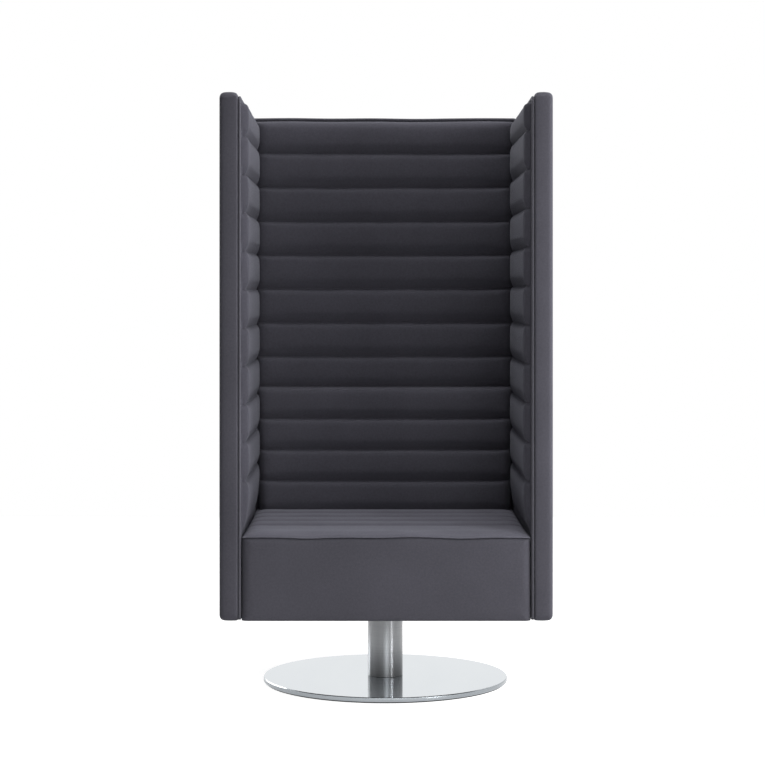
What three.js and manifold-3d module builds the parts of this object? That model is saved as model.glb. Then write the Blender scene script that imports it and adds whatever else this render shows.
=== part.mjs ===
import * as THREE from 'three';
import { mergeVertices } from 'three/addons/utils/BufferGeometryUtils.js';
import Module from 'manifold-3d';

// A lounge chair with a high back and acoustic side wings, on a swivelling disc base.
// Millimetres, +Z up, the front faces -Y. The origin is the centre of the base's underside.

const wasm = await Module();
wasm.setup();

// Clearances
const fit = 0.3; // between pieces that touch, or that run in each other
const overrun = 2; // how far a cut runs past the face that it opens
const sweptGap = 2; // between the still column and the body that turns over it

// The upholstered body as a whole
const bodyWidth = 720;
const bodyDepth = 650;
const undersideHeight = 185;
const wingFrontHeight = 1328;
const wingTopFall = 14; // from the front to the back of a wing's top
const backTopDrop = 12; // the back's top lies this far below the wings' front
const coverSkin = 10; // foam and cloth over a board's edges and outer face

// Wings
const wingThickness = 40;
const wingCornerRadius = 24; // at the corners seen from the side
const wingOuterRound = 12; // along the edges of the outer face
const wingInnerRound = 5; // along the edges towards the sitter
const wingPadPressed = 6.7; // the pad's thickness beside the seat and the back pad
const wingPadSewn = 17.5; // and at its seams
const wingPadCrown = 5; // how far its channels stand proud of their seams
const wingPadEdgeRound = 14; // the length over which its front edge rises
const wingPadTuck = 110; // the length over which it sinks towards the back pad
const wingTopChannel = 84; // from the top of the wing to the first seam
const wingChannel = 83.7;
const weltDepth = 12;
const weltSetBack = 3;
const weltRound = 2.5;
const weltDrop = 9; // its top lies this far below the wing's top
const weltCornerRadius = 14;
const padLift = 2; // from the body's underside to the bottom of the wing's pad and welt

// Back
const backThickness = 43;
const backRearRound = 14;
const backFrontRound = 5;
const backPadFlat = 35; // from the board to the seams of the upper pad
const backPadCrown = 7;
const backPadEdgeRound = 26;
const backTopChannel = 80;
const backChannel = 81.8;
const backPadTopRound = 14;
const backPadTopDrop = 12; // the pad's top lies this far below the cover's top
const lumbarHeight = 668;
const lumbarChannel = 74;
const lumbarTopDepth = 44; // from the board to the seams at the lumbar pad's top
const lumbarSeatDepth = 84; // and at the seat
const lumbarCrown = 7;
const lumbarTopInset = 2; // how much narrower the lumbar pad is than the room between the pressed wing pads,
const lumbarSeatInset = 7.6; // on each side at its top and at the seat
const lumbarTopRound = 14;

// Seat
const seatHeight = 376; // the crown of the cushion
const seatSeamDrop = 12; // the front seam lies this far below the crown
const seatLip = 2; // the cushion's thickness at its front seam
const seatSetBack = 1.5; // from the front of the body to the front seam
const seatFrontRound = 46;
const seatDrawIn = 3; // the sides are drawn in by this much halfway back
const seatSideRound = 30;
const seatChannel = 85;
const seatChannelDip = 4;
const seatFrontBand = 175; // from the front of the body to the first seam on the seat
const seatRearDrop = 6; // the cushion under the lumbar pad, pressed below the crown
const frontPadThickness = 35;
const frontPadTaper = 1.5; // the front pad is this much narrower at its top, on each side
const frontPadRound = 14; // at its upright edges
const frontPadFootRound = 8;
const frontPadTopRound = 4;

// Seat frame
const boardRecess = 9.3; // the seat board's underside lies this far above the body's
const seatBoardThickness = 18;
const railThickness = 24;
const railHeight = 75;
const webbingThickness = 2;
const webbingWidth = 60;
const webbingCount = 4;
const dustCoverThickness = 1;
const dustCoverMargin = 3; // between the mounting plate and the dust cover's cut-out

// Base
const baseRadius = 280;
const basePlateThickness = 10;
const baseChamfer = 1.6;
const floorRingThickness = 3;
const floorRingOuterRadius = 276;
const floorRingWidth = 14;
const columnRadius = 40;
const columnWall = 3;
const plugThickness = 20;
const baseBoltRadius = 8;
const baseBoltHeadRadius = 15;
const baseBoltReach = 24; // the bolt's length above its head's cone
const pinRadius = 4;
const pinLength = 20;
const pinOffset = 25; // from the axis to each locating pin

// Swivel
const mountingPlateSize = 220;
const mountingPlateThickness = 6;
const mountingPlateCorner = 18;
const hubRadius = 33;
const hubHeight = 5;
const spindleRadius = 15;
const spindleTail = 8; // the spindle's length below its circlip groove
const raceInnerRadius = 24;
const raceOuterRadius = 35;
const raceThickness = 2;
const ballRadius = 3;
const ballCount = 12;
const cageThickness = 2;
const cageMargin = 1.2; // the cage is this much narrower than the races, at each edge
const bushWall = 3.2;
const bushFlange = 3.5; // how far a bush's flange reaches past its wall
const bushFlangeThickness = 1.6;
const upperCarrierThickness = 24;
const lowerCarrierThickness = 18;
const carrierSpacing = 76; // between the undersides of the two bush carriers
const circlipThickness = 2;
const circlipReach = 4; // how far the circlip stands out of the spindle
const grooveDepth = 2;

// Fasteners
const mountingBoltRadius = 4;
const mountingBoltHeadRadius = 7;
const mountingBoltHeadHeight = 4.5;
const mountingBoltSpacing = 170;
const teeNutFlangeRadius = 11;
const teeNutFlangeThickness = 1.5;
const teeNutBarrelWall = 2;
const teeNutBarrelLength = 12;
const seatScrewFrontInset = 90; // from the front end of the side rail
const seatScrewRearInset = 120; // from its rear end
const seatScrewRadius = 4;
const seatScrewHeadRadius = 7;
const seatScrewHeadHeight = 4;
const seatScrewGrip = 20; // how deep it bites into the side board
const backScrewLowRise = 235; // above the body's underside
const backScrewHighDrop = 196; // below the back's top
const backScrewRadius = 3.5;
const backScrewHeadRadius = 6;
const backScrewHeadHeight = 4;
const backScrewGrip = 45; // how deep it bites into the back board

// How finely the curves are cut, and how far apart two corners may lie and be one
const plateSides = 64;
const tubeSides = 40;
const turnedSides = 24;
const screwSides = 10;
const ballSides = 6;
const ballRings = 5;
const cornerSteps = 4;
const edgeSteps = 3;
const mergeDistance = 0.0001;
const ringStep = 0.5; // the run of a step in a cushion's underside

// How a channel swells between two seams: places across it, and the roundness of its crown
const channelStepShares = [0, 0.15, 0.5, 0.85];
const channelRoundnessShare = 0.6;
const narrowestChannelShare = 0.5; // of the pitch; a last channel under this joins the one before it

// Where a pad's sections have points: in shares of an edge's rounding, and of the middle between the edges
const padEdgeShares = [0, 0.12, 0.45, 1];
const padMiddleShares = [0.6, 0.2];
const padEdgeDepthShare = 0.5; // a back pad's thickness along its edges, of its thickness at the seams
const padStepShare = 0.9; // the most depth of its wider part behind the wing pads, of its edge's thickness
const seatFrontShares = [0, 0.1, 0.35, 1];
const wingPadMiddleShares = [0.3, 0.7];

// Along the wing pad: at its front edge the place, the share of the pressed thickness and the share of what
// stands over that, then the place and the share of what stands over it where the pad sinks to the back
const wingPadFrontShares = [[0, 0.6, 0], [0.08, 1, 0.3], [0.35, 1, 0.75], [1, 1, 1]];
const wingPadRearShares = [[0, 1], [0.5, 0.85], [0.85, 0.6], [1, 0]];

// Colours and gloss of the finishes
const finishes = {
  cover: { colour: 0x4a4b50, roughness: 0.85, metalness: 0 },
  quilt: { colour: 0x3f4046, roughness: 0.88, metalness: 0 },
  welt: { colour: 0x55565b, roughness: 0.85, metalness: 0 },
  timber: { colour: 0xc79f6c, roughness: 0.7, metalness: 0 },
  webbing: { colour: 0x2b2622, roughness: 0.9, metalness: 0 },
  lining: { colour: 0x1b1b1d, roughness: 0.95, metalness: 0 },
  polished: { colour: 0xdfe2e6, roughness: 0.05, metalness: 1 },
  brushed: { colour: 0xc4c7cb, roughness: 0.28, metalness: 1 },
  steel: { colour: 0x9ea1a5, roughness: 0.4, metalness: 1 },
  nylon: { colour: 0xe9e6dc, roughness: 0.5, metalness: 0 },
  rubber: { colour: 0x1c1c1c, roughness: 0.9, metalness: 0 },
};

// Sizes that several pieces share
const bodyFront = -bodyDepth / 2;
const bodyRear = bodyDepth / 2;
const wingBackHeight = wingFrontHeight - wingTopFall;
const backHeight = wingFrontHeight - backTopDrop;
const wingOuter = bodyWidth / 2;
const wingInner = wingOuter - wingThickness; // inner face of the side board
const wingPadRear = wingInner - fit; // the pad's face against the board
const seatHalf = wingPadRear - wingPadPressed - fit; // half the room between the pressed wing pads
const backBoardFront = bodyRear - backThickness;
const backPadRear = backBoardFront - fit;
const backPadFace = backPadRear - backPadFlat - backPadCrown;
const seatSeamHeight = seatHeight - seatSeamDrop;
const seatRearHeight = seatHeight - seatRearDrop;
const frontPadRear = bodyFront + frontPadThickness;

const seatBoardUnderside = undersideHeight + boardRecess;
const seatBoardTop = seatBoardUnderside + seatBoardThickness;
const railBottom = seatBoardTop + fit;
const railTop = railBottom + railHeight;
const webbingTop = railTop + fit + webbingThickness;
const cushionBottom = webbingTop + fit;
const frameFront = frontPadRear + fit;
const sideRailInner = seatHalf - railThickness;
const seatScrewFront = frameFront + seatScrewFrontInset;
const seatScrewRear = backPadRear - seatScrewRearInset;
const backScrewLow = undersideHeight + backScrewLowRise;
const backScrewHigh = backHeight - backScrewHighDrop;

const plateTop = seatBoardUnderside - fit;
const plateUnderside = plateTop - mountingPlateThickness;
const columnTop = plateUnderside - sweptGap;
const hubUnderside = plateUnderside - hubHeight;
const upperRaceTop = hubUnderside - fit;
const ballHeight = upperRaceTop - raceThickness - fit - ballRadius;
const lowerRaceTop = ballHeight - ballRadius - fit;
const upperCarrierTop = lowerRaceTop - raceThickness - fit;
const lowerCarrierUnderside = upperCarrierTop - upperCarrierThickness - carrierSpacing;
const circlipTop = lowerCarrierUnderside - fit - bushFlangeThickness - fit;

const basePlateUnderside = floorRingThickness;
const basePlateTop = basePlateUnderside + basePlateThickness;
const columnFoot = basePlateTop + fit;
const plugTop = columnFoot + plugThickness;
const columnBore = columnRadius - columnWall;
const bushOuter = spindleRadius + fit + bushWall;
const carrierBore = bushOuter + fit;
const carrierRadius = columnBore - fit;

const upperCarrierUnderside = upperCarrierTop - upperCarrierThickness;
const lowerCarrierTop = lowerCarrierUnderside + lowerCarrierThickness;
const padBottom = undersideHeight + padLift;
const mountingBoltPlaces = [-1, 1].flatMap((sideX) =>
  [-1, 1].map((sideY) => [(sideX * mountingBoltSpacing) / 2, (sideY * mountingBoltSpacing) / 2]),
);

// Turns that lay a section drawn in two axes, and run along the third, into the chair
const xAxis = new THREE.Vector3(1, 0, 0);
const yAxis = new THREE.Vector3(0, 1, 0);
const zAxis = new THREE.Vector3(0, 0, 1);
const runAlongX = new THREE.Matrix4().makeBasis(yAxis, zAxis, xAxis);

// The space inside a mesh, negative if its faces point inwards
function signedVolume(position, index) {
  const a = new THREE.Vector3();
  const b = new THREE.Vector3();
  const c = new THREE.Vector3();
  let total = 0;
  for (let i = 0; i < index.length; i += 3) {
    a.fromBufferAttribute(position, index[i]);
    b.fromBufferAttribute(position, index[i + 1]);
    c.fromBufferAttribute(position, index[i + 2]);
    total += a.dot(b.cross(c)) / 6;
  }
  return total;
}

// One skin with shared corners and faces that point out
function closedSolid(geometry) {
  const bare = new THREE.BufferGeometry();
  bare.setAttribute('position', geometry.attributes.position.clone());
  if (geometry.index) {
    bare.setIndex(geometry.index.clone());
  }
  const merged = mergeVertices(bare, mergeDistance);
  const faces = [];
  for (let i = 0; i < merged.index.count; i += 3) {
    const a = merged.index.getX(i);
    const b = merged.index.getX(i + 1);
    const c = merged.index.getX(i + 2);
    if (a !== b && b !== c && c !== a) {
      faces.push(a, b, c);
    }
  }
  if (signedVolume(merged.attributes.position, faces) < 0) {
    faces.reverse();
  }
  merged.setIndex(faces);
  merged.computeVertexNormals();
  return merged;
}

function toManifold(geometry) {
  const solid = closedSolid(geometry);
  const vertProperties = new Float32Array(solid.attributes.position.array);
  const triVerts = new Uint32Array(solid.index.array);
  return new wasm.Manifold(new wasm.Mesh({ numProp: 3, vertProperties, triVerts }));
}

function fromManifold(manifold) {
  const mesh = manifold.getMesh();
  const geometry = new THREE.BufferGeometry();
  geometry.setAttribute('position', new THREE.Float32BufferAttribute(mesh.vertProperties, 3));
  geometry.setIndex(new THREE.Uint32BufferAttribute(mesh.triVerts, 1));
  return closedSolid(geometry);
}

function cut(geometry, cutters) {
  let body = toManifold(geometry);
  for (const cutter of cutters) {
    body = body.subtract(toManifold(cutter));
  }
  return fromManifold(body);
}

function join(geometry, others) {
  let body = toManifold(geometry);
  for (const other of others) {
    body = body.add(toManifold(other));
  }
  return fromManifold(body);
}

function mirrored(geometry) {
  return closedSolid(geometry.clone().scale(-1, 1, 1));
}

// The faces that fill a ring, with the way round that the ring itself has
function fillRing(flatRing, firstCorner) {
  const ringIsLeftHanded = THREE.ShapeUtils.area(flatRing) > 0;
  return THREE.ShapeUtils.triangulateShape(flatRing, []).map((face) => {
    const faceIsLeftHanded = THREE.ShapeUtils.area(face.map((corner) => flatRing[corner])) > 0;
    const corners = faceIsLeftHanded === ringIsLeftHanded ? face : [...face].reverse();
    return corners.map((corner) => corner + firstCorner);
  });
}

// A skin over closed rings of as many points each, filled at both ends; flatten gives a point's place
// in the plane across the run
function loft(rings, flatten) {
  const size = rings[0].length;
  const faces = [];
  for (let ring = 0; ring < rings.length - 1; ring++) {
    for (let point = 0; point < size; point++) {
      const next = (point + 1) % size;
      const here = ring * size;
      const there = here + size;
      faces.push([here + point, here + next, there + next]);
      faces.push([here + point, there + next, there + point]);
    }
  }
  const lastCorner = (rings.length - 1) * size;
  const start = fillRing(rings[0].map(flatten), 0).map((face) => [...face].reverse());
  const end = fillRing(rings[rings.length - 1].map(flatten), lastCorner);
  const geometry = new THREE.BufferGeometry().setFromPoints(rings.flat());
  geometry.setIndex([...faces, ...start, ...end].flat());
  return closedSolid(geometry);
}

const acrossZ = (point) => new THREE.Vector2(point.x, point.y);
const acrossY = (point) => new THREE.Vector2(point.x, point.z);
const acrossX = (point) => new THREE.Vector2(point.y, point.z);

// A turned piece from its profile of [radius, height] points, which touches the axis or closes on itself
function turned(profile, sides) {
  const points = profile.map(([radius, height]) => new THREE.Vector2(radius, height));
  const touchesAxis = points.some((point) => point.x === 0);
  if (!touchesAxis) {
    points.push(points[0].clone());
  }
  return closedSolid(new THREE.LatheGeometry(points, sides).rotateX(Math.PI / 2));
}

// A round sleeve or disc with a bore
function sleeve(innerRadius, outerRadius, bottom, top, sides) {
  const profile = [
    [innerRadius, bottom],
    [outerRadius, bottom],
    [outerRadius, top],
    [innerRadius, top],
  ];
  return turned(profile, sides);
}

function rod(radius, bottom, top, sides) {
  const profile = [
    [0, bottom],
    [radius, bottom],
    [radius, top],
    [0, top],
  ];
  return turned(profile, sides);
}

// A headed screw that points up, with the underside of its head at the given height
function screw(radius, headRadius, headHeight, headUnderside, tip, sides) {
  const profile = [
    [0, headUnderside - headHeight],
    [headRadius, headUnderside - headHeight],
    [headRadius, headUnderside],
    [radius, headUnderside],
    [radius, tip],
    [0, tip],
  ];
  return turned(profile, sides);
}

function block(fromX, toX, fromY, toY, fromZ, toZ) {
  const box = new THREE.BoxGeometry(toX - fromX, toY - fromY, toZ - fromZ);
  return closedSolid(box.translate((fromX + toX) / 2, (fromY + toY) / 2, (fromZ + toZ) / 2));
}

// An outline with its corners rounded, from corners with a place and a radius
function roundedOutline(corners) {
  const outline = [];
  corners.forEach(({ place, radius }, i) => {
    const before = corners[(i + corners.length - 1) % corners.length].place;
    const after = corners[(i + 1) % corners.length].place;
    if (radius === 0) {
      outline.push(place.clone());
      return;
    }
    const toBefore = before.clone().sub(place).normalize();
    const toAfter = after.clone().sub(place).normalize();
    const halfAngle = Math.acos(toBefore.dot(toAfter)) / 2;
    const middle = toBefore.clone().add(toAfter).normalize();
    const centre = place.clone().addScaledVector(middle, radius / Math.sin(halfAngle));
    const start = place.clone().addScaledVector(toBefore, radius / Math.tan(halfAngle)).sub(centre);
    const end = place.clone().addScaledVector(toAfter, radius / Math.tan(halfAngle)).sub(centre);
    const sweep = Math.atan2(start.cross(end), start.dot(end));
    for (let step = 0; step <= cornerSteps; step++) {
      const turn = (sweep * step) / cornerSteps;
      outline.push(start.clone().rotateAround(new THREE.Vector2(), turn).add(centre));
    }
  });
  return outline;
}

function corner(x, y, radius = 0) {
  return { place: new THREE.Vector2(x, y), radius };
}

// A flat piece with holes, from its outline and a thickness
function slab(outline, thickness, holes = []) {
  const shape = new THREE.Shape(outline);
  shape.holes = holes;
  const options = { depth: thickness, bevelEnabled: false, curveSegments: screwSides };
  return new THREE.ExtrudeGeometry(shape, options);
}

function roundHole(x, y, radius) {
  return new THREE.Path().absarc(x, y, radius, 0, 2 * Math.PI, true);
}

const chair = new THREE.Group();

function addPiece(name, geometry, finish) {
  const material = new THREE.MeshStandardMaterial({
    color: finish.colour,
    roughness: finish.roughness,
    metalness: finish.metalness,
  });
  const piece = new THREE.Mesh(geometry, material);
  piece.name = name;
  chair.add(piece);
}

// A piece of the right wing, and its mirror image on the left
function addPair(name, geometry, finish) {
  addPiece(`right_${name}`, geometry, finish);
  addPiece(`left_${name}`, mirrored(geometry), finish);
}

// Base

function basePlate() {
  const coneDepth = baseBoltHeadRadius - baseBoltRadius;
  const profile = [
    [baseBoltHeadRadius + fit, basePlateUnderside],
    [baseRadius - baseChamfer, basePlateUnderside],
    [baseRadius, basePlateUnderside + baseChamfer],
    [baseRadius, basePlateTop - baseChamfer],
    [baseRadius - baseChamfer, basePlateTop],
    [baseBoltRadius + fit, basePlateTop],
    [baseBoltRadius + fit, basePlateUnderside + coneDepth + fit],
    [baseBoltHeadRadius + fit, basePlateUnderside + fit],
  ];
  const pinHole = rod(pinRadius + fit, plugTop - pinLength - fit, basePlateTop + overrun, screwSides);
  const pinHoles = [-pinOffset, pinOffset].map((place) => pinHole.clone().translate(0, place, 0));
  return cut(turned(profile, plateSides), pinHoles);
}

function floorRing() {
  const inner = floorRingOuterRadius - floorRingWidth;
  return sleeve(inner, floorRingOuterRadius, 0, floorRingThickness - fit, plateSides);
}

function baseBolt() {
  const coneDepth = baseBoltHeadRadius - baseBoltRadius;
  const profile = [
    [0, basePlateUnderside + fit],
    [baseBoltHeadRadius, basePlateUnderside + fit],
    [baseBoltRadius, basePlateUnderside + fit + coneDepth],
    [baseBoltRadius, basePlateUnderside + coneDepth + baseBoltReach],
    [0, basePlateUnderside + coneDepth + baseBoltReach],
  ];
  return turned(profile, turnedSides);
}

function locatingPin() {
  return rod(pinRadius, plugTop - pinLength, plugTop, screwSides);
}

function columnPlug() {
  const outline = new THREE.Path().absarc(0, 0, carrierRadius, 0, 2 * Math.PI).getPoints(turnedSides);
  const holes = [
    roundHole(0, 0, baseBoltRadius + fit),
    roundHole(0, -pinOffset, pinRadius + fit),
    roundHole(0, pinOffset, pinRadius + fit),
  ];
  outline.pop();
  return closedSolid(slab(outline, plugThickness, holes).translate(0, 0, columnFoot));
}

function columnTube() {
  return sleeve(columnBore, columnRadius, columnFoot, columnTop, tubeSides);
}

// Swivel

// A bush with its flange against the face of its carrier, above or below
function bush(bottom, top, flangeAbove) {
  const inner = spindleRadius + fit;
  const flangeRadius = bushOuter + bushFlange;
  if (flangeAbove) {
    const profile = [
      [inner, bottom],
      [bushOuter, bottom],
      [bushOuter, top + fit],
      [flangeRadius, top + fit],
      [flangeRadius, top + fit + bushFlangeThickness],
      [inner, top + fit + bushFlangeThickness],
    ];
    return turned(profile, turnedSides);
  }
  const profile = [
    [inner, bottom - fit - bushFlangeThickness],
    [flangeRadius, bottom - fit - bushFlangeThickness],
    [flangeRadius, bottom - fit],
    [bushOuter, bottom - fit],
    [bushOuter, top],
    [inner, top],
  ];
  return turned(profile, turnedSides);
}

function spindle() {
  const grooveTop = circlipTop + fit;
  const grooveBottom = circlipTop - circlipThickness - fit;
  const profile = [
    [0, grooveBottom - spindleTail],
    [spindleRadius, grooveBottom - spindleTail],
    [spindleRadius, grooveBottom],
    [spindleRadius - grooveDepth, grooveBottom],
    [spindleRadius - grooveDepth, grooveTop],
    [spindleRadius, grooveTop],
    [spindleRadius, plateTop],
    [0, plateTop],
  ];
  return turned(profile, turnedSides);
}

function circlip() {
  const inner = spindleRadius - grooveDepth + fit;
  return sleeve(inner, spindleRadius + circlipReach, circlipTop - circlipThickness, circlipTop, turnedSides);
}

// The cage ring with its balls in it, which all go round together
function bearingCage() {
  const half = cageThickness / 2;
  const inner = raceInnerRadius + cageMargin;
  const outer = raceOuterRadius - cageMargin;
  const ring = sleeve(inner, outer, ballHeight - half, ballHeight + half, turnedSides);
  const balls = [];
  for (let i = 0; i < ballCount; i++) {
    const turn = (2 * Math.PI * i) / ballCount;
    const ball = new THREE.SphereGeometry(ballRadius, ballSides, ballRings).rotateX(Math.PI / 2);
    balls.push(ball.translate((inner + outer) / 2, 0, ballHeight).rotateZ(turn));
  }
  return join(ring, balls);
}

function mountingPlate() {
  const half = mountingPlateSize / 2;
  const outline = roundedOutline([
    corner(-half, -half, mountingPlateCorner),
    corner(half, -half, mountingPlateCorner),
    corner(half, half, mountingPlateCorner),
    corner(-half, half, mountingPlateCorner),
  ]);
  const holes = mountingBoltPlaces.map(([x, y]) => roundHole(x, y, mountingBoltRadius + fit));
  const plate = slab(outline, mountingPlateThickness, holes).translate(0, 0, plateUnderside);
  const hub = rod(hubRadius, hubUnderside, plateTop, turnedSides);
  const bore = rod(spindleRadius + fit, hubUnderside - overrun, plateTop + overrun, turnedSides);
  return cut(join(plate, [hub]), [bore]);
}

function mountingBolt() {
  const headUnderside = plateUnderside - fit;
  const tip = seatBoardTop + teeNutFlangeThickness;
  return screw(
    mountingBoltRadius,
    mountingBoltHeadRadius,
    mountingBoltHeadHeight,
    headUnderside,
    tip,
    screwSides,
  );
}

function teeNut() {
  const inner = mountingBoltRadius + fit;
  const flangeUnderside = seatBoardTop + fit;
  const profile = [
    [inner, flangeUnderside - teeNutBarrelLength],
    [inner + teeNutBarrelWall, flangeUnderside - teeNutBarrelLength],
    [inner + teeNutBarrelWall, flangeUnderside],
    [teeNutFlangeRadius, flangeUnderside],
    [teeNutFlangeRadius, flangeUnderside + teeNutFlangeThickness],
    [inner, flangeUnderside + teeNutFlangeThickness],
  ];
  return turned(profile, screwSides);
}

// Seat frame

function seatBoard() {
  const outline = [
    new THREE.Vector2(-seatHalf, frameFront),
    new THREE.Vector2(seatHalf, frameFront),
    new THREE.Vector2(seatHalf, backPadRear),
    new THREE.Vector2(-seatHalf, backPadRear),
  ];
  const holeRadius = mountingBoltRadius + fit + teeNutBarrelWall + fit;
  const holes = mountingBoltPlaces.map(([x, y]) => roundHole(x, y, holeRadius));
  return closedSolid(slab(outline, seatBoardThickness, holes).translate(0, 0, seatBoardUnderside));
}

function crossRail(front) {
  const reach = sideRailInner - fit;
  return block(-reach, reach, front, front + railThickness, railBottom, railTop);
}

function seatScrewHeight() {
  return (railBottom + railTop) / 2;
}

// The right-hand side rail, with holes for the screws into the side board
function sideRail() {
  const outline = [
    new THREE.Vector2(frameFront, railBottom),
    new THREE.Vector2(backPadRear, railBottom),
    new THREE.Vector2(backPadRear, railTop),
    new THREE.Vector2(frameFront, railTop),
  ];
  const holes = [seatScrewFront, seatScrewRear].map((place) =>
    roundHole(place, seatScrewHeight(), seatScrewRadius + fit),
  );
  const rail = slab(outline, railThickness, holes).applyMatrix4(runAlongX);
  return closedSolid(rail.translate(sideRailInner, 0, 0));
}

function webbingStrap(place) {
  const half = webbingWidth / 2;
  return block(-seatHalf, seatHalf, place - half, place + half, railTop + fit, webbingTop);
}

// Places of the straps, shared out evenly between the front and the rear rail
function webbingPlaces() {
  const first = frameFront + railThickness;
  const last = backPadRear - railThickness;
  const places = [];
  for (let i = 0; i < webbingCount; i++) {
    places.push(first + ((last - first) * (i + 1)) / (webbingCount + 1));
  }
  return places;
}

function dustCover() {
  const outline = [
    new THREE.Vector2(-seatHalf, frameFront),
    new THREE.Vector2(seatHalf, frameFront),
    new THREE.Vector2(seatHalf, backPadRear),
    new THREE.Vector2(-seatHalf, backPadRear),
  ];
  const half = mountingPlateSize / 2 + dustCoverMargin;
  const opening = new THREE.Path([
    new THREE.Vector2(-half, -half),
    new THREE.Vector2(-half, half),
    new THREE.Vector2(half, half),
    new THREE.Vector2(half, -half),
  ]);
  const underside = seatBoardUnderside - fit - dustCoverThickness;
  return closedSolid(slab(outline, dustCoverThickness, [opening]).translate(0, 0, underside));
}

// Screws along X, from inside the side rail outwards
function seatScrew(place) {
  const tip = wingInner + seatScrewGrip;
  const headUnderside = sideRailInner - fit;
  const upright = screw(
    seatScrewRadius,
    seatScrewHeadRadius,
    seatScrewHeadHeight,
    headUnderside,
    tip,
    screwSides,
  );
  return closedSolid(upright.rotateY(Math.PI / 2).translate(0, place, seatScrewHeight()));
}

function seatScrewHole(place) {
  const hole = rod(seatScrewRadius + fit, sideRailInner, wingInner + seatScrewGrip + fit, screwSides);
  return hole.rotateY(Math.PI / 2).translate(0, place, seatScrewHeight());
}

// Screws along X, from the side board's outer face inwards into the back board's edge
function backScrewAt(height, clearance, headOverrun) {
  const headTop = wingOuter - coverSkin - fit;
  const upright = screw(
    backScrewRadius + clearance,
    backScrewHeadRadius + clearance,
    backScrewHeadHeight + clearance + headOverrun,
    backScrewHeadHeight + clearance - headTop,
    backScrewGrip + clearance - wingInner,
    screwSides,
  );
  const depthPlace = (backBoardFront + bodyRear - coverSkin) / 2;
  return closedSolid(upright.rotateY(-Math.PI / 2).translate(0, depthPlace, height));
}

function backScrew(height) {
  return backScrewAt(height, 0, 0);
}

function backScrewHole(height) {
  return backScrewAt(height, fit, overrun);
}

// Places across a wall and the inset of its outline there, with both its edges rounded
function roundedRun(from, to, fromRound, toRound) {
  const run = [];
  for (let step = 0; step <= edgeSteps; step++) {
    const turn = (Math.PI / 2) * (step / edgeSteps);
    run.push({ place: from + fromRound * (1 - Math.cos(turn)), inset: fromRound * (1 - Math.sin(turn)) });
  }
  for (let step = edgeSteps; step >= 0; step--) {
    const turn = (Math.PI / 2) * (step / edgeSteps);
    run.push({ place: to - toRound * (1 - Math.cos(turn)), inset: toRound * (1 - Math.sin(turn)) });
  }
  return run;
}

// The height of a rounded edge, as a share of its full height, at a distance in from the edge
function edgeLiftShare(distance, round) {
  const remaining = 1 - Math.min(1, distance / round);
  return Math.sqrt(1 - remaining * remaining);
}

// How full a channel is at a share of the way between its two seams
function fullness(share) {
  return Math.sin(Math.PI * share) ** channelRoundnessShare;
}

// Wings

// The wing's outline from the side, drawn in depth and height, moved inwards by inset
function wingOutline(inset) {
  const radius = wingCornerRadius - inset;
  return roundedOutline([
    corner(bodyFront + inset, undersideHeight + inset, radius),
    corner(bodyRear - inset, undersideHeight + inset, radius),
    corner(bodyRear - inset, wingBackHeight - inset, radius),
    corner(bodyFront + inset, wingFrontHeight - inset, radius),
  ]);
}

function wingRing(place, inset) {
  return wingOutline(inset).map((point) => new THREE.Vector3(place, point.x, point.y));
}

// The wing's top falls towards the back
function wingTopAt(depthPlace) {
  const share = (depthPlace - bodyFront) / bodyDepth;
  return wingFrontHeight + (wingBackHeight - wingFrontHeight) * share;
}

// The upholstery over the outer face and the edges, open towards the sitter
function wingCover() {
  const run = roundedRun(wingInner, wingOuter, wingInnerRound, wingOuterRound);
  const solid = loft(run.map(({ place, inset }) => wingRing(place, inset)), acrossX);
  const room = [wingRing(wingInner - overrun, coverSkin), wingRing(wingOuter - coverSkin, coverSkin)];
  return cut(solid, [loft(room, acrossX)]);
}

function wingBoard() {
  const inset = coverSkin + fit;
  const rings = [wingRing(wingInner, inset), wingRing(wingOuter - inset, inset)];
  const holes = [
    seatScrewHole(seatScrewFront),
    seatScrewHole(seatScrewRear),
    backScrewHole(backScrewLow),
    backScrewHole(backScrewHigh),
  ];
  return cut(loft(rings, acrossX), holes);
}

// The narrow border that runs up the wing's front edge and back along its top
function wingWelt() {
  const front = bodyFront + weltSetBack;
  const inside = front + weltDepth;
  const ring = (place, inset) => {
    const outline = roundedOutline([
      corner(front + inset, padBottom + inset),
      corner(inside - inset, padBottom + inset),
      corner(inside - inset, wingTopAt(inside) - weltDrop - weltDepth + inset),
      corner(backPadRear - inset, wingTopAt(backPadRear) - weltDrop - weltDepth + inset),
      corner(backPadRear - inset, wingTopAt(backPadRear) - weltDrop - inset),
      corner(front + inset, wingTopAt(front) - weltDrop - inset, weltCornerRadius - inset),
    ]);
    return outline.map((point) => new THREE.Vector3(place, point.x, point.y));
  };
  const run = roundedRun(wingPadRear - wingPadPressed, wingPadRear, weltRound, 0);
  return loft(run.map(({ place, inset }) => ring(place, inset)), acrossX);
}

// Places along the pad from front to back, with the share of its pressed thickness and the share of what
// stands over that
function wingPadStations() {
  const front = bodyFront + weltSetBack + weltDepth + fit;
  const tuckFront = backPadFace - wingPadTuck;
  const stations = [];
  for (const [placeShare, pressedShare, riseShare] of wingPadFrontShares) {
    stations.push([front + wingPadEdgeRound * placeShare, pressedShare, riseShare]);
  }
  for (const placeShare of wingPadMiddleShares) {
    const place = front + wingPadEdgeRound + (tuckFront - front - wingPadEdgeRound) * placeShare;
    stations.push([place, 1, 1]);
  }
  for (const [placeShare, riseShare] of wingPadRearShares) {
    stations.push([tuckFront + wingPadTuck * placeShare, 1, riseShare]);
  }
  stations.push([backPadRear, 1, 0]);
  return stations;
}

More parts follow.
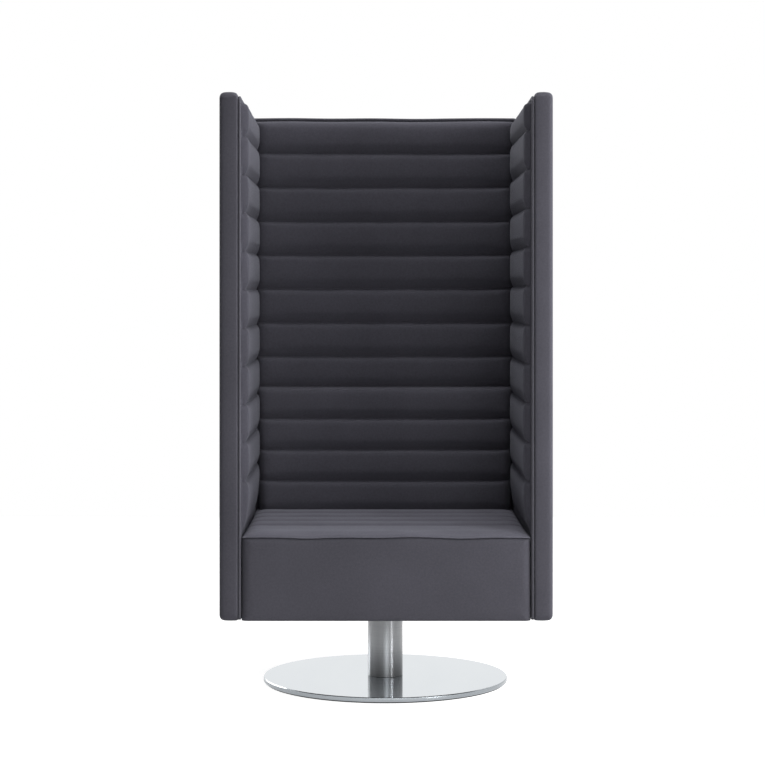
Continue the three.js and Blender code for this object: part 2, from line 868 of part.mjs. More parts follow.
function wingPadRing(heightAt, rise) {
  const stations = wingPadStations();
  const front = stations[0][0];
  const face = stations.map(([place, pressedShare, riseShare]) => {
    const thickness = wingPadPressed * pressedShare + rise * riseShare;
    return new THREE.Vector3(wingPadRear - thickness, place, heightAt(place));
  });
  return [
    new THREE.Vector3(wingPadRear, backPadRear, heightAt(backPadRear)),
    new THREE.Vector3(wingPadRear, front, heightAt(front)),
    ...face,
  ];
}

// The rings of one channel, from its upper edge to just short of its lower one
function wingChannelRings(upperAt, lower, freeAt) {
  return channelStepShares.map((share) => {
    const heightAt = (place) => upperAt(place) + (lower - upperAt(place)) * share;
    const rise = wingPadSewn - wingPadPressed + wingPadCrown * fullness(share);
    return wingPadRing(heightAt, rise * freeAt(share));
  });
}

// The channelled pad on the wing's inner face, pressed flat beside the seat
function wingPad() {
  const topAt = (place) => wingTopAt(place) - weltDrop - weltDepth - fit;
  const seatLine = seatHeight + fit;
  const rings = [];
  let upperAt = topAt;
  let lower = wingFrontHeight - wingTopChannel;
  while (lower > seatLine + wingChannel * narrowestChannelShare) {
    rings.push(...wingChannelRings(upperAt, lower, () => 1));
    const seam = lower;
    upperAt = () => seam;
    lower -= wingChannel;
  }
  rings.push(...wingChannelRings(upperAt, seatLine, (share) => 1 - share * share));
  rings.push(wingPadRing(() => seatLine, 0));
  rings.push(wingPadRing(() => padBottom, 0));
  return cut(loft(rings.reverse(), acrossZ), [seatScrewHole(seatScrewFront), seatScrewHole(seatScrewRear)]);
}

// Back

function backBoard() {
  const reach = wingInner - fit;
  const bottom = undersideHeight + coverSkin + fit;
  const top = backHeight - coverSkin - fit;
  const board = block(-reach, reach, backBoardFront, bodyRear - coverSkin - fit, bottom, top);
  const holes = [backScrewHole(backScrewLow), backScrewHole(backScrewHigh)];
  return cut(board, [...holes, ...holes.map(mirrored)]);
}

// The upholstery round the back board's rear face, top and bottom
function backCover() {
  const outline = roundedOutline([
    corner(backBoardFront, undersideHeight, backFrontRound),
    corner(bodyRear, undersideHeight, backRearRound),
    corner(bodyRear, backHeight, backRearRound),
    corner(backBoardFront, backHeight, backFrontRound),
    corner(backBoardFront, backHeight - coverSkin),
    corner(bodyRear - coverSkin, backHeight - coverSkin),
    corner(bodyRear - coverSkin, undersideHeight + coverSkin),
    corner(backBoardFront, undersideHeight + coverSkin),
  ]);
  const reach = wingInner - fit;
  const cover = slab(outline, 2 * reach).applyMatrix4(runAlongX);
  return closedSolid(cover.translate(-reach, 0, 0));
}

// A ring of a pad on the back board: half its width in front, its depth at the seams and its swell
function backPadRing(height, half, depth, swell) {
  const face = [];
  for (const share of padEdgeShares) {
    const lift = edgeLiftShare(share * backPadEdgeRound, backPadEdgeRound);
    const depthShare = padEdgeDepthShare + (1 - padEdgeDepthShare) * lift;
    face.push([half - share * backPadEdgeRound, depth * depthShare + swell * lift]);
  }
  for (const share of padMiddleShares) {
    face.push([share * (half - backPadEdgeRound), depth + swell]);
  }
  const wide = [[half, 0]];
  if (half < seatHalf) {
    const step = Math.min(backPadRear - backPadFace - fit, face[0][1] * padStepShare);
    wide.splice(0, 1, [seatHalf, 0], [seatHalf, step], [half, step]);
  }
  const section = [...wide, ...face];
  const right = section.map(([place, inward]) => new THREE.Vector3(place, backPadRear - inward, height));
  const left = right.map((point) => new THREE.Vector3(-point.x, point.y, height)).reverse();
  return [...right, ...left];
}

// The rings of a pad with channels: the heights of its edges and seams from the top down
function channelledRings(edges, halfAt, depthAt, crown, topRound) {
  const rings = [];
  const top = edges[0];
  const ringAt = (height, swell) => {
    const topShare = padEdgeDepthShare + (1 - padEdgeDepthShare) * edgeLiftShare(top - height, topRound);
    return backPadRing(height, halfAt(height), depthAt(height) * topShare, swell);
  };
  for (let i = 0; i < edges.length - 1; i++) {
    const drop = edges[i] - edges[i + 1];
    for (const share of channelStepShares) {
      rings.push(ringAt(edges[i] - drop * share, crown * fullness(share)));
    }
  }
  rings.push(ringAt(edges[edges.length - 1], 0));
  return rings.reverse();
}

// Heights of a pad's top, its seams and its bottom, without a last channel too narrow to sew
function channelEdges(top, firstSeam, pitch, bottom) {
  const edges = [top];
  for (let seam = firstSeam; seam > bottom + pitch * narrowestChannelShare; seam -= pitch) {
    edges.push(seam);
  }
  edges.push(bottom);
  return edges;
}

function upperBackPad() {
  const top = backHeight - backPadTopDrop;
  const bottom = lumbarHeight + fit;
  const edges = channelEdges(top, backHeight - backTopChannel, backChannel, bottom);
  const halfAt = () => seatHalf;
  const depthAt = () => backPadFlat;
  return loft(channelledRings(edges, halfAt, depthAt, backPadCrown, backPadTopRound), acrossZ);
}

function lumbarPad() {
  const bottom = seatRearHeight + fit;
  const edges = channelEdges(lumbarHeight, lumbarHeight - lumbarChannel, lumbarChannel, bottom);
  const between = (atSeat, atTop) => (height) => {
    return atSeat + ((atTop - atSeat) * (height - bottom)) / (lumbarHeight - bottom);
  };
  const halfAt = between(seatHalf - lumbarSeatInset, seatHalf - lumbarTopInset);
  const depthAt = between(lumbarSeatDepth, lumbarTopDepth);
  return loft(channelledRings(edges, halfAt, depthAt, lumbarCrown, lumbarTopRound), acrossZ);
}

// Seat

// Places along the cushion from front to back, with the height of its top there
function seatStations() {
  const front = bodyFront + seatSetBack;
  const crownRise = seatHeight - seatSeamHeight - seatLip;
  const rear = backPadRear - lumbarSeatDepth - lumbarCrown - fit;
  const heightAt = (place) => {
    return seatSeamHeight + seatLip + crownRise * edgeLiftShare(place - front, seatFrontRound);
  };
  const stations = [];
  for (const share of seatFrontShares) {
    const place = front + seatFrontRound * share;
    stations.push([place, heightAt(place)]);
  }
  stations.push([frameFront, heightAt(frameFront)]);
  stations.push([frameFront + ringStep, heightAt(frameFront + ringStep)]);
  const lastSeamLimit = rear - seatChannel * narrowestChannelShare;
  const seams = [];
  for (let seam = bodyFront + seatFrontBand; seam < lastSeamLimit; seam += seatChannel) {
    seams.push(seam);
  }
  const bandMiddle = (front + seatFrontRound + seams[0]) / 2;
  stations.push([bandMiddle, seatHeight]);
  seams.push(rear);
  for (let i = 0; i < seams.length - 1; i++) {
    const run = seams[i + 1] - seams[i];
    for (const share of channelStepShares) {
      stations.push([seams[i] + run * share, seatHeight - seatChannelDip * (1 - fullness(share))]);
    }
  }
  stations.push([rear, seatRearHeight]);
  stations.push([backPadRear, seatRearHeight]);
  return stations.sort((a, b) => a[0] - b[0]);
}

function seatCushion() {
  const stations = seatStations();
  const front = stations[0][0];
  const edgeHeight = seatSeamHeight + seatLip;
  const rings = stations.map(([place, height]) => {
    const bottom = place > frameFront ? cushionBottom : seatSeamHeight;
    const drawIn = seatDrawIn * Math.sin((Math.PI * (place - front)) / (backPadRear - front));
    const half = seatHalf - frontPadTaper - drawIn;
    const right = [];
    for (const share of padEdgeShares) {
      const lift = edgeLiftShare(share * seatSideRound, seatSideRound);
      right.push([half - share * seatSideRound, edgeHeight + (height - edgeHeight) * lift]);
    }
    for (const share of padMiddleShares) {
      right.push([share * (half - seatSideRound), height]);
    }
    const rightPoints = right.map(([across, level]) => new THREE.Vector3(across, place, level));
    const leftPoints = rightPoints.map((point) => new THREE.Vector3(-point.x, place, point.z)).reverse();
    return [
      new THREE.Vector3(-half, place, bottom),
      new THREE.Vector3(half, place, bottom),
      ...rightPoints,
      ...leftPoints,
    ];
  });
  return loft(rings, acrossY);
}

// The plain upholstery over the front rail, a little wider at its foot
function seatFrontPad() {
  const top = seatSeamHeight - fit;
  const run = roundedRun(undersideHeight, top, frontPadFootRound, frontPadTopRound);
  const rings = run.map(({ place, inset }) => {
    const share = (place - undersideHeight) / (top - undersideHeight);
    const half = seatHalf - frontPadTaper * share - inset;
    const face = bodyFront + inset;
    const outline = roundedOutline([
      corner(-half, frontPadRear),
      corner(half, frontPadRear),
      corner(half, face, frontPadRound),
      corner(-half, face, frontPadRound),
    ]);
    return outline.map((point) => new THREE.Vector3(point.x, point.y, place));
  });
  return loft(rings, acrossZ);
}

// The still base
addPiece('floor_ring', floorRing(), finishes.rubber);
addPiece('base_plate', basePlate(), finishes.polished);
addPiece('base_bolt', baseBolt(), finishes.steel);
addPiece('front_locating_pin', locatingPin().translate(0, -pinOffset, 0), finishes.steel);
addPiece('rear_locating_pin', locatingPin().translate(0, pinOffset, 0), finishes.steel);
addPiece('column_plug', columnPlug(), finishes.steel);
addPiece('column_tube', columnTube(), finishes.brushed);
addPiece(
  'lower_bush_carrier',
  sleeve(carrierBore, carrierRadius, lowerCarrierUnderside, lowerCarrierTop, turnedSides),
  finishes.steel,
);
addPiece(
  'upper_bush_carrier',
  sleeve(carrierBore, carrierRadius, upperCarrierUnderside, upperCarrierTop, turnedSides),
  finishes.steel,
);
addPiece('lower_bush', bush(lowerCarrierUnderside, lowerCarrierTop, false), finishes.nylon);
addPiece('upper_bush', bush(upperCarrierUnderside, upperCarrierTop, true), finishes.nylon);
addPiece(
  'lower_race',
  sleeve(raceInnerRadius, raceOuterRadius, lowerRaceTop - raceThickness, lowerRaceTop, turnedSides),
  finishes.steel,
);

// The cage that rolls between the races
addPiece('ball_cage', bearingCage(), finishes.steel);

// What turns with the seat
addPiece(
  'upper_race',
  sleeve(raceInnerRadius, raceOuterRadius, upperRaceTop - raceThickness, upperRaceTop, turnedSides),
  finishes.steel,
);
addPiece('spindle', spindle(), finishes.steel);
addPiece('circlip', circlip(), finishes.steel);
addPiece('mounting_plate', mountingPlate(), finishes.steel);
mountingBoltPlaces.forEach(([x, y], i) => {
  addPiece(`mounting_bolt_${i + 1}`, mountingBolt().translate(x, y, 0), finishes.steel);
  addPiece(`tee_nut_${i + 1}`, teeNut().translate(x, y, 0), finishes.steel);
});
addPiece('seat_board', seatBoard(), finishes.timber);
addPiece('front_rail', crossRail(frameFront), finishes.timber);
addPiece('rear_rail', crossRail(backPadRear - railThickness), finishes.timber);
addPair('side_rail', sideRail(), finishes.timber);
webbingPlaces().forEach((place, i) => {
  addPiece(`webbing_strap_${i + 1}`, webbingStrap(place), finishes.webbing);
});
addPiece('dust_cover', dustCover(), finishes.lining);
addPiece('seat_cushion', seatCushion(), finishes.quilt);
addPiece('seat_front_pad', seatFrontPad(), finishes.cover);

addPair('wing_board', wingBoard(), finishes.timber);
addPair('wing_cover', wingCover(), finishes.cover);
addPair('wing_welt', wingWelt(), finishes.welt);
addPair('wing_pad', wingPad(), finishes.quilt);
addPiece('back_board', backBoard(), finishes.timber);
addPiece('back_cover', backCover(), finishes.cover);
addPiece('upper_back_pad', upperBackPad(), finishes.quilt);
addPiece('lumbar_pad', lumbarPad(), finishes.quilt);
addPair('front_seat_screw', seatScrew(seatScrewFront), finishes.steel);
addPair('rear_seat_screw', seatScrew(seatScrewRear), finishes.steel);
addPair('lower_back_screw', backScrew(backScrewLow), finishes.steel);
addPair('upper_back_screw', backScrew(backScrewHigh), finishes.steel);

export default chair;
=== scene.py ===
import math

import bmesh
import bpy
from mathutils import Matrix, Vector, noise


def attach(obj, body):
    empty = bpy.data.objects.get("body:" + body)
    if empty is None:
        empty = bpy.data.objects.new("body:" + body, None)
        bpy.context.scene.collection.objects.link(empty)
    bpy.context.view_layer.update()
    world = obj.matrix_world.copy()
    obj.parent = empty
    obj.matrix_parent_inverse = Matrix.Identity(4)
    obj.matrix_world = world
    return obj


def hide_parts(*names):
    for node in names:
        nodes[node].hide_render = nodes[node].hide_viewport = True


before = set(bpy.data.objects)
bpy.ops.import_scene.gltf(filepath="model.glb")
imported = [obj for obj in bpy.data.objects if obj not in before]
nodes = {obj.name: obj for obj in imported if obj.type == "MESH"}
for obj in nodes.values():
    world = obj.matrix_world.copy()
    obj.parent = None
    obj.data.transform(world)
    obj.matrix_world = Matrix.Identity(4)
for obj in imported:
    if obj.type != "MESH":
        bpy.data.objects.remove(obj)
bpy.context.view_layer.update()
scene = bpy.context.scene

# Sizes of the body that several pieces share, in metres as everything here
body = {
    "halfWidth": 0.360,
    "halfDepth": 0.325,
    "underside": 0.185,
    "wingTopFront": 1.328,
    "wingTopBack": 1.314,
    "wingInner": 0.320,  # the inner face of the wings' boards
    "boardFace": 0.2817,  # the front of the back board
    "gap": 0.0003,  # between pieces that lie against each other
}


def linearColour(hexColour):
    channels = [int(hexColour[i:i + 2], 16) / 255 for i in (1, 3, 5)]
    return (*[c / 12.92 if c <= 0.04045 else ((c + 0.055) / 1.055) ** 2.4 for c in channels], 1.0)


# Feeds a socket with a value, or links it to the socket that is given
def feed(tree, socket, value):
    if isinstance(value, bpy.types.NodeSocket):
        tree.links.new(value, socket)
    else:
        socket.default_value = value


# Adds a node, with its settings, and its inputs as values or as the sockets they are linked to
def addNode(tree, kind, settings=None, inputs=None):
    node = tree.nodes.new("ShaderNode" + kind)
    for name, value in (settings or {}).items():
        setattr(node, name, value)
    for name, value in (inputs or {}).items():
        feed(tree, node.inputs[name], value)
    return node


def calculate(tree, operation, *values):
    node = addNode(tree, "Math", {"operation": operation})
    for socket, value in zip(node.inputs, values):
        feed(tree, socket, value)
    return node.outputs[0]


def newMaterial(name):
    material = bpy.data.materials.new(name)
    material.use_nodes = True
    tree = material.node_tree
    return material, tree, tree.nodes["Principled BSDF"]


# Noise on the object's own coordinates, stretched along its axes, in patterns per metre
def patternNoise(tree, perMetre, detail=2.0, roughness=0.5):
    coords = addNode(tree, "TexCoord")
    mapping = addNode(tree, "Mapping", inputs={"Vector": coords.outputs["Object"], "Scale": perMetre})
    return addNode(tree, "TexNoise", inputs={
        "Vector": mapping.outputs["Vector"], "Scale": 1.0, "Detail": detail, "Roughness": roughness})


def mixColours(tree, factor, first, second, blend="MIX"):
    mix = addNode(tree, "Mix", {"data_type": "RGBA", "blend_type": blend})
    for index, value in ((0, factor), (6, first), (7, second)):
        feed(tree, mix.inputs[index], value)
    return mix.outputs[2]


# Wool felt cloth, woven and then brushed: matt, with a faint weave, a mottled charcoal and a soft sheen
cloth = {
    "thread": 0.0016,  # real threads lie 0.6 mm apart, drawn coarser so that they show
    "mottle": 0.0045,  # the size of its darker and lighter flecks
    "paintedGapShadeDepth": 0.30,  # how much darker the gaps between threads are painted: painted shade in the weave
    "weaveHeight": 0.00035,
    "cloudsPerMetre": 6.0,  # broad, barely lighter and darker areas
    "cloudShade": (0.92, 1.06),
    "fuzz": 0.0012,  # the size of its loose fibres
    "fuzzShare": 0.6,  # of its relief, against the weave's
    "reliefStrength": 0.5,
    "roughness": 0.92,
    "specular": 0.2,
    "sheen": 0.35,
    "sheenRoughness": 0.45,
    "sheenTint": "#9a9ca6",
}


def makeCloth(name, dark, light):
    material, tree, shader = newMaterial(name)
    place = addNode(tree, "UVMap", {"uv_map": "cloth"})
    axes = addNode(tree, "SeparateXYZ", inputs={"Vector": place.outputs["UV"]})
    waves = []
    for axis in ("X", "Y"):
        angle = calculate(tree, "MULTIPLY", axes.outputs[axis], math.pi / cloth["thread"])
        waves.append(calculate(tree, "ABSOLUTE", calculate(tree, "SINE", angle)))
    weave = calculate(tree, "MULTIPLY", *waves)
    flecks = patternNoise(tree, (1 / cloth["mottle"],) * 3, detail=4.0, roughness=0.7)
    fleckStep = addNode(tree, "MapRange", inputs={
        "Value": flecks.outputs["Fac"], "From Min": 0.3, "From Max": 0.7})
    clouds = patternNoise(tree, (cloth["cloudsPerMetre"],) * 3, detail=2.0)
    cloudStep = addNode(tree, "MapRange", inputs={
        "Value": clouds.outputs["Fac"], "From Min": 0.3, "From Max": 0.7,
        "To Min": cloth["cloudShade"][0], "To Max": cloth["cloudShade"][1]})
    base = mixColours(tree, fleckStep.outputs["Result"], linearColour(dark), linearColour(light))
    # Painted shade: the gaps between the threads are painted darker, by the weave's height
    paintedGapShade = addNode(tree, "MapRange", inputs={
        "Value": weave, "From Min": 0.0, "From Max": 0.6,
        "To Min": 1 - cloth["paintedGapShadeDepth"], "To Max": 1.0})
    withPaintedShade = mixColours(tree, 1.0, base, paintedGapShade.outputs["Result"], "MULTIPLY")
    clouded = mixColours(tree, 1.0, withPaintedShade, cloudStep.outputs["Result"], "MULTIPLY")
    tree.links.new(clouded, shader.inputs["Base Color"])
    fuzz = patternNoise(tree, (1 / cloth["fuzz"],) * 3, detail=3.0)
    height = calculate(tree, "MULTIPLY_ADD", fuzz.outputs["Fac"], cloth["fuzzShare"], weave)
    bump = addNode(tree, "Bump", inputs={
        "Strength": cloth["reliefStrength"], "Distance": cloth["weaveHeight"], "Height": height})
    tree.links.new(bump.outputs["Normal"], shader.inputs["Normal"])
    shader.inputs["Roughness"].default_value = cloth["roughness"]
    shader.inputs["Specular IOR Level"].default_value = cloth["specular"]
    shader.inputs["Sheen Weight"].default_value = cloth["sheen"]
    shader.inputs["Sheen Roughness"].default_value = cloth["sheenRoughness"]
    shader.inputs["Sheen Tint"].default_value = linearColour(cloth["sheenTint"])
    return material


plainCloth = makeCloth("charcoal wool felt, plain", "#4c4b53", "#55545c")
quiltCloth = makeCloth("charcoal wool felt, quilted", "#47464e", "#504f58")
# Painted light: the seat's cloth is a lighter copy of the same felt, for the light that falls on the seat's top
seatClothPaintedLit = makeCloth("charcoal wool felt, seat", "#56555e", "#61606a")
weltCloth = makeCloth("charcoal wool felt, welt", "#535259", "#5d5c64")


# Polished stainless steel: a cool mirror with the faintest haze and wiping marks, turned to a satin round its
# rim, below the height where its top face begins. The rim's darker colour is painted shade
polish = {"haze": (0.02, 0.06), "rimFade": (0.0120, 0.0126), "rimGloss": 0.22, "toolLine": 0.0006}


def makePolished():
    material, tree, shader = newMaterial("polished stainless steel")
    marks = patternNoise(tree, (14.0, 3.0, 14.0), detail=4.0)
    haze = addNode(tree, "MapRange", inputs={
        "Value": marks.outputs["Fac"], "From Min": 0.35, "From Max": 0.7,
        "To Min": polish["haze"][0], "To Max": polish["haze"][1]})
    face = mixColours(tree, marks.outputs["Fac"], linearColour("#d5dbdf"), linearColour("#ccd3d8"))
    coords = addNode(tree, "TexCoord")
    height = addNode(tree, "SeparateXYZ", inputs={"Vector": coords.outputs["Object"]})
    satinAndShadedRim = addNode(tree, "MapRange", inputs={
        "Value": height.outputs["Z"], "From Min": polish["rimFade"][0], "From Max": polish["rimFade"][1],
        "To Min": 1.0, "To Max": 0.0})
    lines = patternNoise(tree, (20.0, 20.0, 1 / polish["toolLine"]), detail=2.0)
    # Painted shade: the rim is painted a darker steel than the face; its satin gloss and turning lines are real
    edge = mixColours(tree, lines.outputs["Fac"], linearColour("#83888d"), linearColour("#abb0b4"))
    tree.links.new(mixColours(tree, satinAndShadedRim.outputs["Result"], face, edge), shader.inputs["Base Color"])
    gloss = calculate(tree, "MULTIPLY_ADD", satinAndShadedRim.outputs["Result"], polish["rimGloss"],
                      haze.outputs["Result"])
    tree.links.new(gloss, shader.inputs["Roughness"])
    shader.inputs["Metallic"].default_value = 1.0
    return material


# Brushed stainless tube: the belt ran round it and left fine rings, so its gloss is upright. It is painted
# darker towards its foot, as in the photo: painted shade
brush = {"ring": 0.0008, "foot": (0.013, 0.085), "paintedFootShade": 0.45, "gloss": (0.36, 0.46), "anisotropy": 0.85}


def makeBrushed():
    material, tree, shader = newMaterial("brushed stainless steel")
    rings = patternNoise(tree, (12.0, 12.0, 1 / brush["ring"]), detail=3.0, roughness=0.6)
    tint = mixColours(tree, rings.outputs["Fac"], linearColour("#8f9092"), linearColour("#a9aaac"))
    place = addNode(tree, "TexCoord")
    axes = addNode(tree, "SeparateXYZ", inputs={"Vector": place.outputs["Object"]})
    # Painted shade: the tube's colour darkens towards its foot
    foot = addNode(tree, "MapRange", inputs={
        "Value": axes.outputs["Z"], "From Min": brush["foot"][0], "From Max": brush["foot"][1],
        "To Min": brush["paintedFootShade"], "To Max": 1.0})
    withPaintedShade = mixColours(tree, 1.0, tint, foot.outputs["Result"], "MULTIPLY")
    tree.links.new(withPaintedShade, shader.inputs["Base Color"])
    gloss = addNode(tree, "MapRange", inputs={
        "Value": rings.outputs["Fac"], "To Min": brush["gloss"][0], "To Max": brush["gloss"][1]})
    tree.links.new(gloss.outputs["Result"], shader.inputs["Roughness"])
    bump = addNode(tree, "Bump", inputs={
        "Strength": 0.2, "Distance": 0.0001, "Height": rings.outputs["Fac"]})
    tree.links.new(bump.outputs["Normal"], shader.inputs["Normal"])
    tangent = addNode(tree, "Tangent", {"direction_type": "RADIAL", "axis": "Z"})
    tree.links.new(tangent.outputs["Tangent"], shader.inputs["Tangent"])
    shader.inputs["Anisotropic"].default_value = brush["anisotropy"]
    shader.inputs["Anisotropic Rotation"].default_value = 0.25
    shader.inputs["Metallic"].default_value = 1.0
    return material


# A plain finish whose colour and gloss vary a little with a noise, for what is hidden in the body
def makeFinish(name, dark, light, perMetre, roughness, metallic=0.0, relief=0.0002):
    material, tree, shader = newMaterial(name)
    pattern = patternNoise(tree, perMetre, detail=4.0, roughness=0.6)
    tint = mixColours(tree, pattern.outputs["Fac"], linearColour(dark), linearColour(light))
    tree.links.new(tint, shader.inputs["Base Color"])
    gloss = addNode(tree, "MapRange", inputs={
        "Value": pattern.outputs["Fac"], "To Min": roughness - 0.06, "To Max": roughness + 0.06})
    tree.links.new(gloss.outputs["Result"], shader.inputs["Roughness"])
    bump = addNode(tree, "Bump", inputs={
        "Strength": 0.4, "Distance": relief, "Height": pattern.outputs["Fac"]})
    tree.links.new(bump.outputs["Normal"], shader.inputs["Normal"])
    shader.inputs["Metallic"].default_value = metallic
    return material


polished = makePolished()
brushed = makeBrushed()
# The boards behind the cloth are painted black, painted shade, so that no pale wood shows in the seams
boardPaintedBlackForShade = makeFinish("black shadePainted pine board", "#232125", "#3a373c", (330, 330, 9), 0.7)
# Rails and seat board, sawn and sanded: bands of darker late wood along the grain, 3 mm wide
timberAcross = makeFinish("pine rail, grain across", "#a97f4d", "#dcbd8c", (9, 330, 330), 0.66)
timberDeep = makeFinish("pine rail, grain front to back", "#a97f4d", "#dcbd8c", (330, 9, 330), 0.66)
# Woven elastic: ribs 2.5 mm apart across the strap
webbing = makeFinish("woven elastic webbing", "#1d1a18", "#4a3f36", (400, 60, 400), 0.85)
# Spun polypropylene: a black fleece with a print of tiny spots
lining = makeFinish("spun polypropylene lining", "#141416", "#2b2b2e", (700, 700, 700), 0.93)
# Zinc-plated steel: a cool, slightly cloudy gloss
plated = makeFinish("zinc-plated steel", "#9fa3a8", "#c2c5c9", (90, 90, 90), 0.36, 1.0, 0.00005)
# Moulded nylon: off-white and waxy
nylon = makeFinish("moulded nylon", "#d9d5c9", "#ece9df", (160, 160, 160), 0.45)
# Moulded rubber: matt black with a fine grain
rubber = makeFinish("moulded rubber", "#141414", "#242424", (900, 900, 900), 0.85)

hiddenFinishes = [
    (boardPaintedBlackForShade, ["right_wing_board", "left_wing_board", "back_board"]),
    (timberAcross, ["seat_board", "front_rail", "rear_rail"]),
    (timberDeep, ["right_side_rail", "left_side_rail"]),
    (webbing, [f"webbing_strap_{number}" for number in range(1, 5)]),
    (lining, ["dust_cover"]),
    (nylon, ["ball_cage", "lower_bush", "upper_bush"]),
]
dressed = set()
for finish, names in hiddenFinishes:
    for name in names:
        dressed.add(name)
        for slot in nodes[name].material_slots:
            slot.material = finish
print("materials made")


# Gives each face its cloth map, in metres along the two axes that it faces least
def mapCloth(bm):
    layer = bm.loops.layers.uv.new("cloth")
    for face in bm.faces:
        facing = [abs(c) for c in face.normal]
        axes = [i for i in range(3) if i != facing.index(max(facing))]
        for loop in face.loops:
            loop[layer].uv = (loop.vert.co[axes[0]], loop.vert.co[axes[1]])


# Makes an object of a mesh and tells the frame what it is. Without subdivision, level faces stay unsmoothed
def newPiece(name, bm, material, replaced, rider="seat", levels=1):
    bmesh.ops.recalc_face_normals(bm, faces=bm.faces)
    if bm.loops.layers.uv.get("cloth") is None:
        mapCloth(bm)
    for face in bm.faces:
        face.smooth = levels > 0 or abs(face.normal.z) < 0.9999
    mesh = bpy.data.meshes.new(name)
    bm.to_mesh(mesh)
    bm.free()
    piece = bpy.data.objects.new(name, mesh)
    scene.collection.objects.link(piece)
    mesh.materials.append(material)
    if levels:
        smoother = piece.modifiers.new("smooth", "SUBSURF")
        smoother.levels = smoother.render_levels = levels
    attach(piece, rider)
    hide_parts(*replaced)
    return piece


# The height of a rounded edge, from 0 to 1, at a distance in from it
def edgeLift(distance, reach):
    left = 1 - min(1, max(0, distance) / reach)
    return math.sqrt(1 - left * left)


# A slanted roll that starts at a corner and turns softly into the flat, from 0 to 1
def roll(share):
    share = min(1, max(0, share))
    return 1.5 * share - 0.5 * share ** 3


# How full a channel is at a share of the way between its seams: a slanted roll at its start, where the filling
# sags, a tight edge at its end, and a gently crowned middle
def fullness(share, startRoll=0.25, endRoll=0.11, crownShare=0.12):
    crown = max(0.0, math.sin(math.pi * min(1, max(0, share))))
    rolled = roll(share / startRoll) * edgeLift(1 - share, endRoll)
    return (1 - crownShare) * rolled + crownShare * crown


# Points across a pad lie closer together towards its edges
def spread(a, power=1.45):
    return math.copysign(1 - (1 - min(1, abs(a))) ** power, a)


# A face that stands proud in its middle, from 0 at its edges to 1
def bulge(share):
    return max(0.0, math.sin(math.pi * min(1, max(0, share)))) ** 0.4


# Where a channel has rows of points, as shares of the way between its seams, closer together near each
channelShares = [0, 0.02, 0.06, 0.11, 0.16, 0.21, 0.27, 0.40, 0.60, 0.80, 0.89, 0.945, 0.985]
plainShares = [0, 0.35, 0.75]


# Rows of points across a pad, from one edge to the next: place, share of its channel and the channel
def channelRows(edges, plainChannels=()):
    rows = []
    for channel, (low, high) in enumerate(zip(edges, edges[1:])):
        for share in plainShares if channel in plainChannels else channelShares:
            rows.append((low + (high - low) * share, share, channel))
    rows.append((edges[-1], 1.0, len(edges) - 2))
    return rows


def rowAt(rows, b):
    return rows[round((b + 1) / 2 * (len(rows) - 1))]


# What the sewing does to every channelled pad
sewing = {
    "wander": 0.0011,  # how far its lines stray
    "steadyEnd": 0.04,  # they stray less within this reach of the pad's ends
    "reach": 0.010,  # how far from a seam the thread gathers the cloth
    "gather": 0.021,  # the length of one gather
    "channel": 0.08,  # a channel's usual width
    "uneven": 0.0004,
    "crease": 0.6,
}
# How the filling swells each cover, the same for all: a Cloth simulation with pressure and no gravity
filling = {"mass": 0.02, "pressure": 4.0, "stiffness": 15.0, "bending": 0.1, "quality": 4, "frames": 20}
tiny = 0.00001


# How far a sewn line wanders at a place along it, less near the pad's ends
def wander(along, across, low, high):
    ends = min(1.0, (across - low) / sewing["steadyEnd"], (high - across) / sewing["steadyEnd"])
    return sewing["wander"] * max(0.0, ends) * noise.noise(Vector((along * 11.0, across * 9.0, 3.0)))


# A pad's face: a grid in plan from -1 to 1 whose points remember their plan, laid in the chair by place
def padFace(columns, rowCount, place, isHeld, outward):
    bm = bmesh.new()
    plan = bm.verts.layers.float_vector.new("plan")
    held = bm.verts.layers.int.new("held")
    bmesh.ops.create_grid(bm, x_segments=columns, y_segments=rowCount, size=1)
    for vertex in bm.verts:
        a, b = vertex.co.x, vertex.co.y
        vertex[plan] = (a, b, 0)
        vertex[held] = int(isHeld(a, b) or abs(a) > 0.999 or abs(b) > 0.999)
        vertex.co = place(a, b, 0)
    bm.normal_update()
    if sum(face.normal.dot(outward) for face in bm.faces) < 0:
        bmesh.ops.reverse_faces(bm, faces=bm.faces)
    return bm


# Turns the face's rim back in steps, from 0 down to -1, and fills the rear with a grid
def closePad(bm, wallSteps, place):
    plan = bm.verts.layers.float_vector["plan"]
    rim = [e for e in bm.edges if e.is_boundary]
    for step in range(1, wallSteps + 1):
        made = bmesh.ops.extrude_edge_only(bm, edges=rim)["geom"]
        for vertex in made:
            if isinstance(vertex, bmesh.types.BMVert):
                a, b, _ = vertex[plan]
                vertex[plan] = (a, b, -step / wallSteps)
                vertex.co = place(a, b, -step / wallSteps)
        rim = [g for g in made if isinstance(g, bmesh.types.BMEdge) and g.is_boundary]
    ends = [e for e in rim if abs(e.verts[0][plan].y - e.verts[1][plan].y) < tiny]
    bmesh.ops.grid_fill(bm, edges=ends)
    return bm


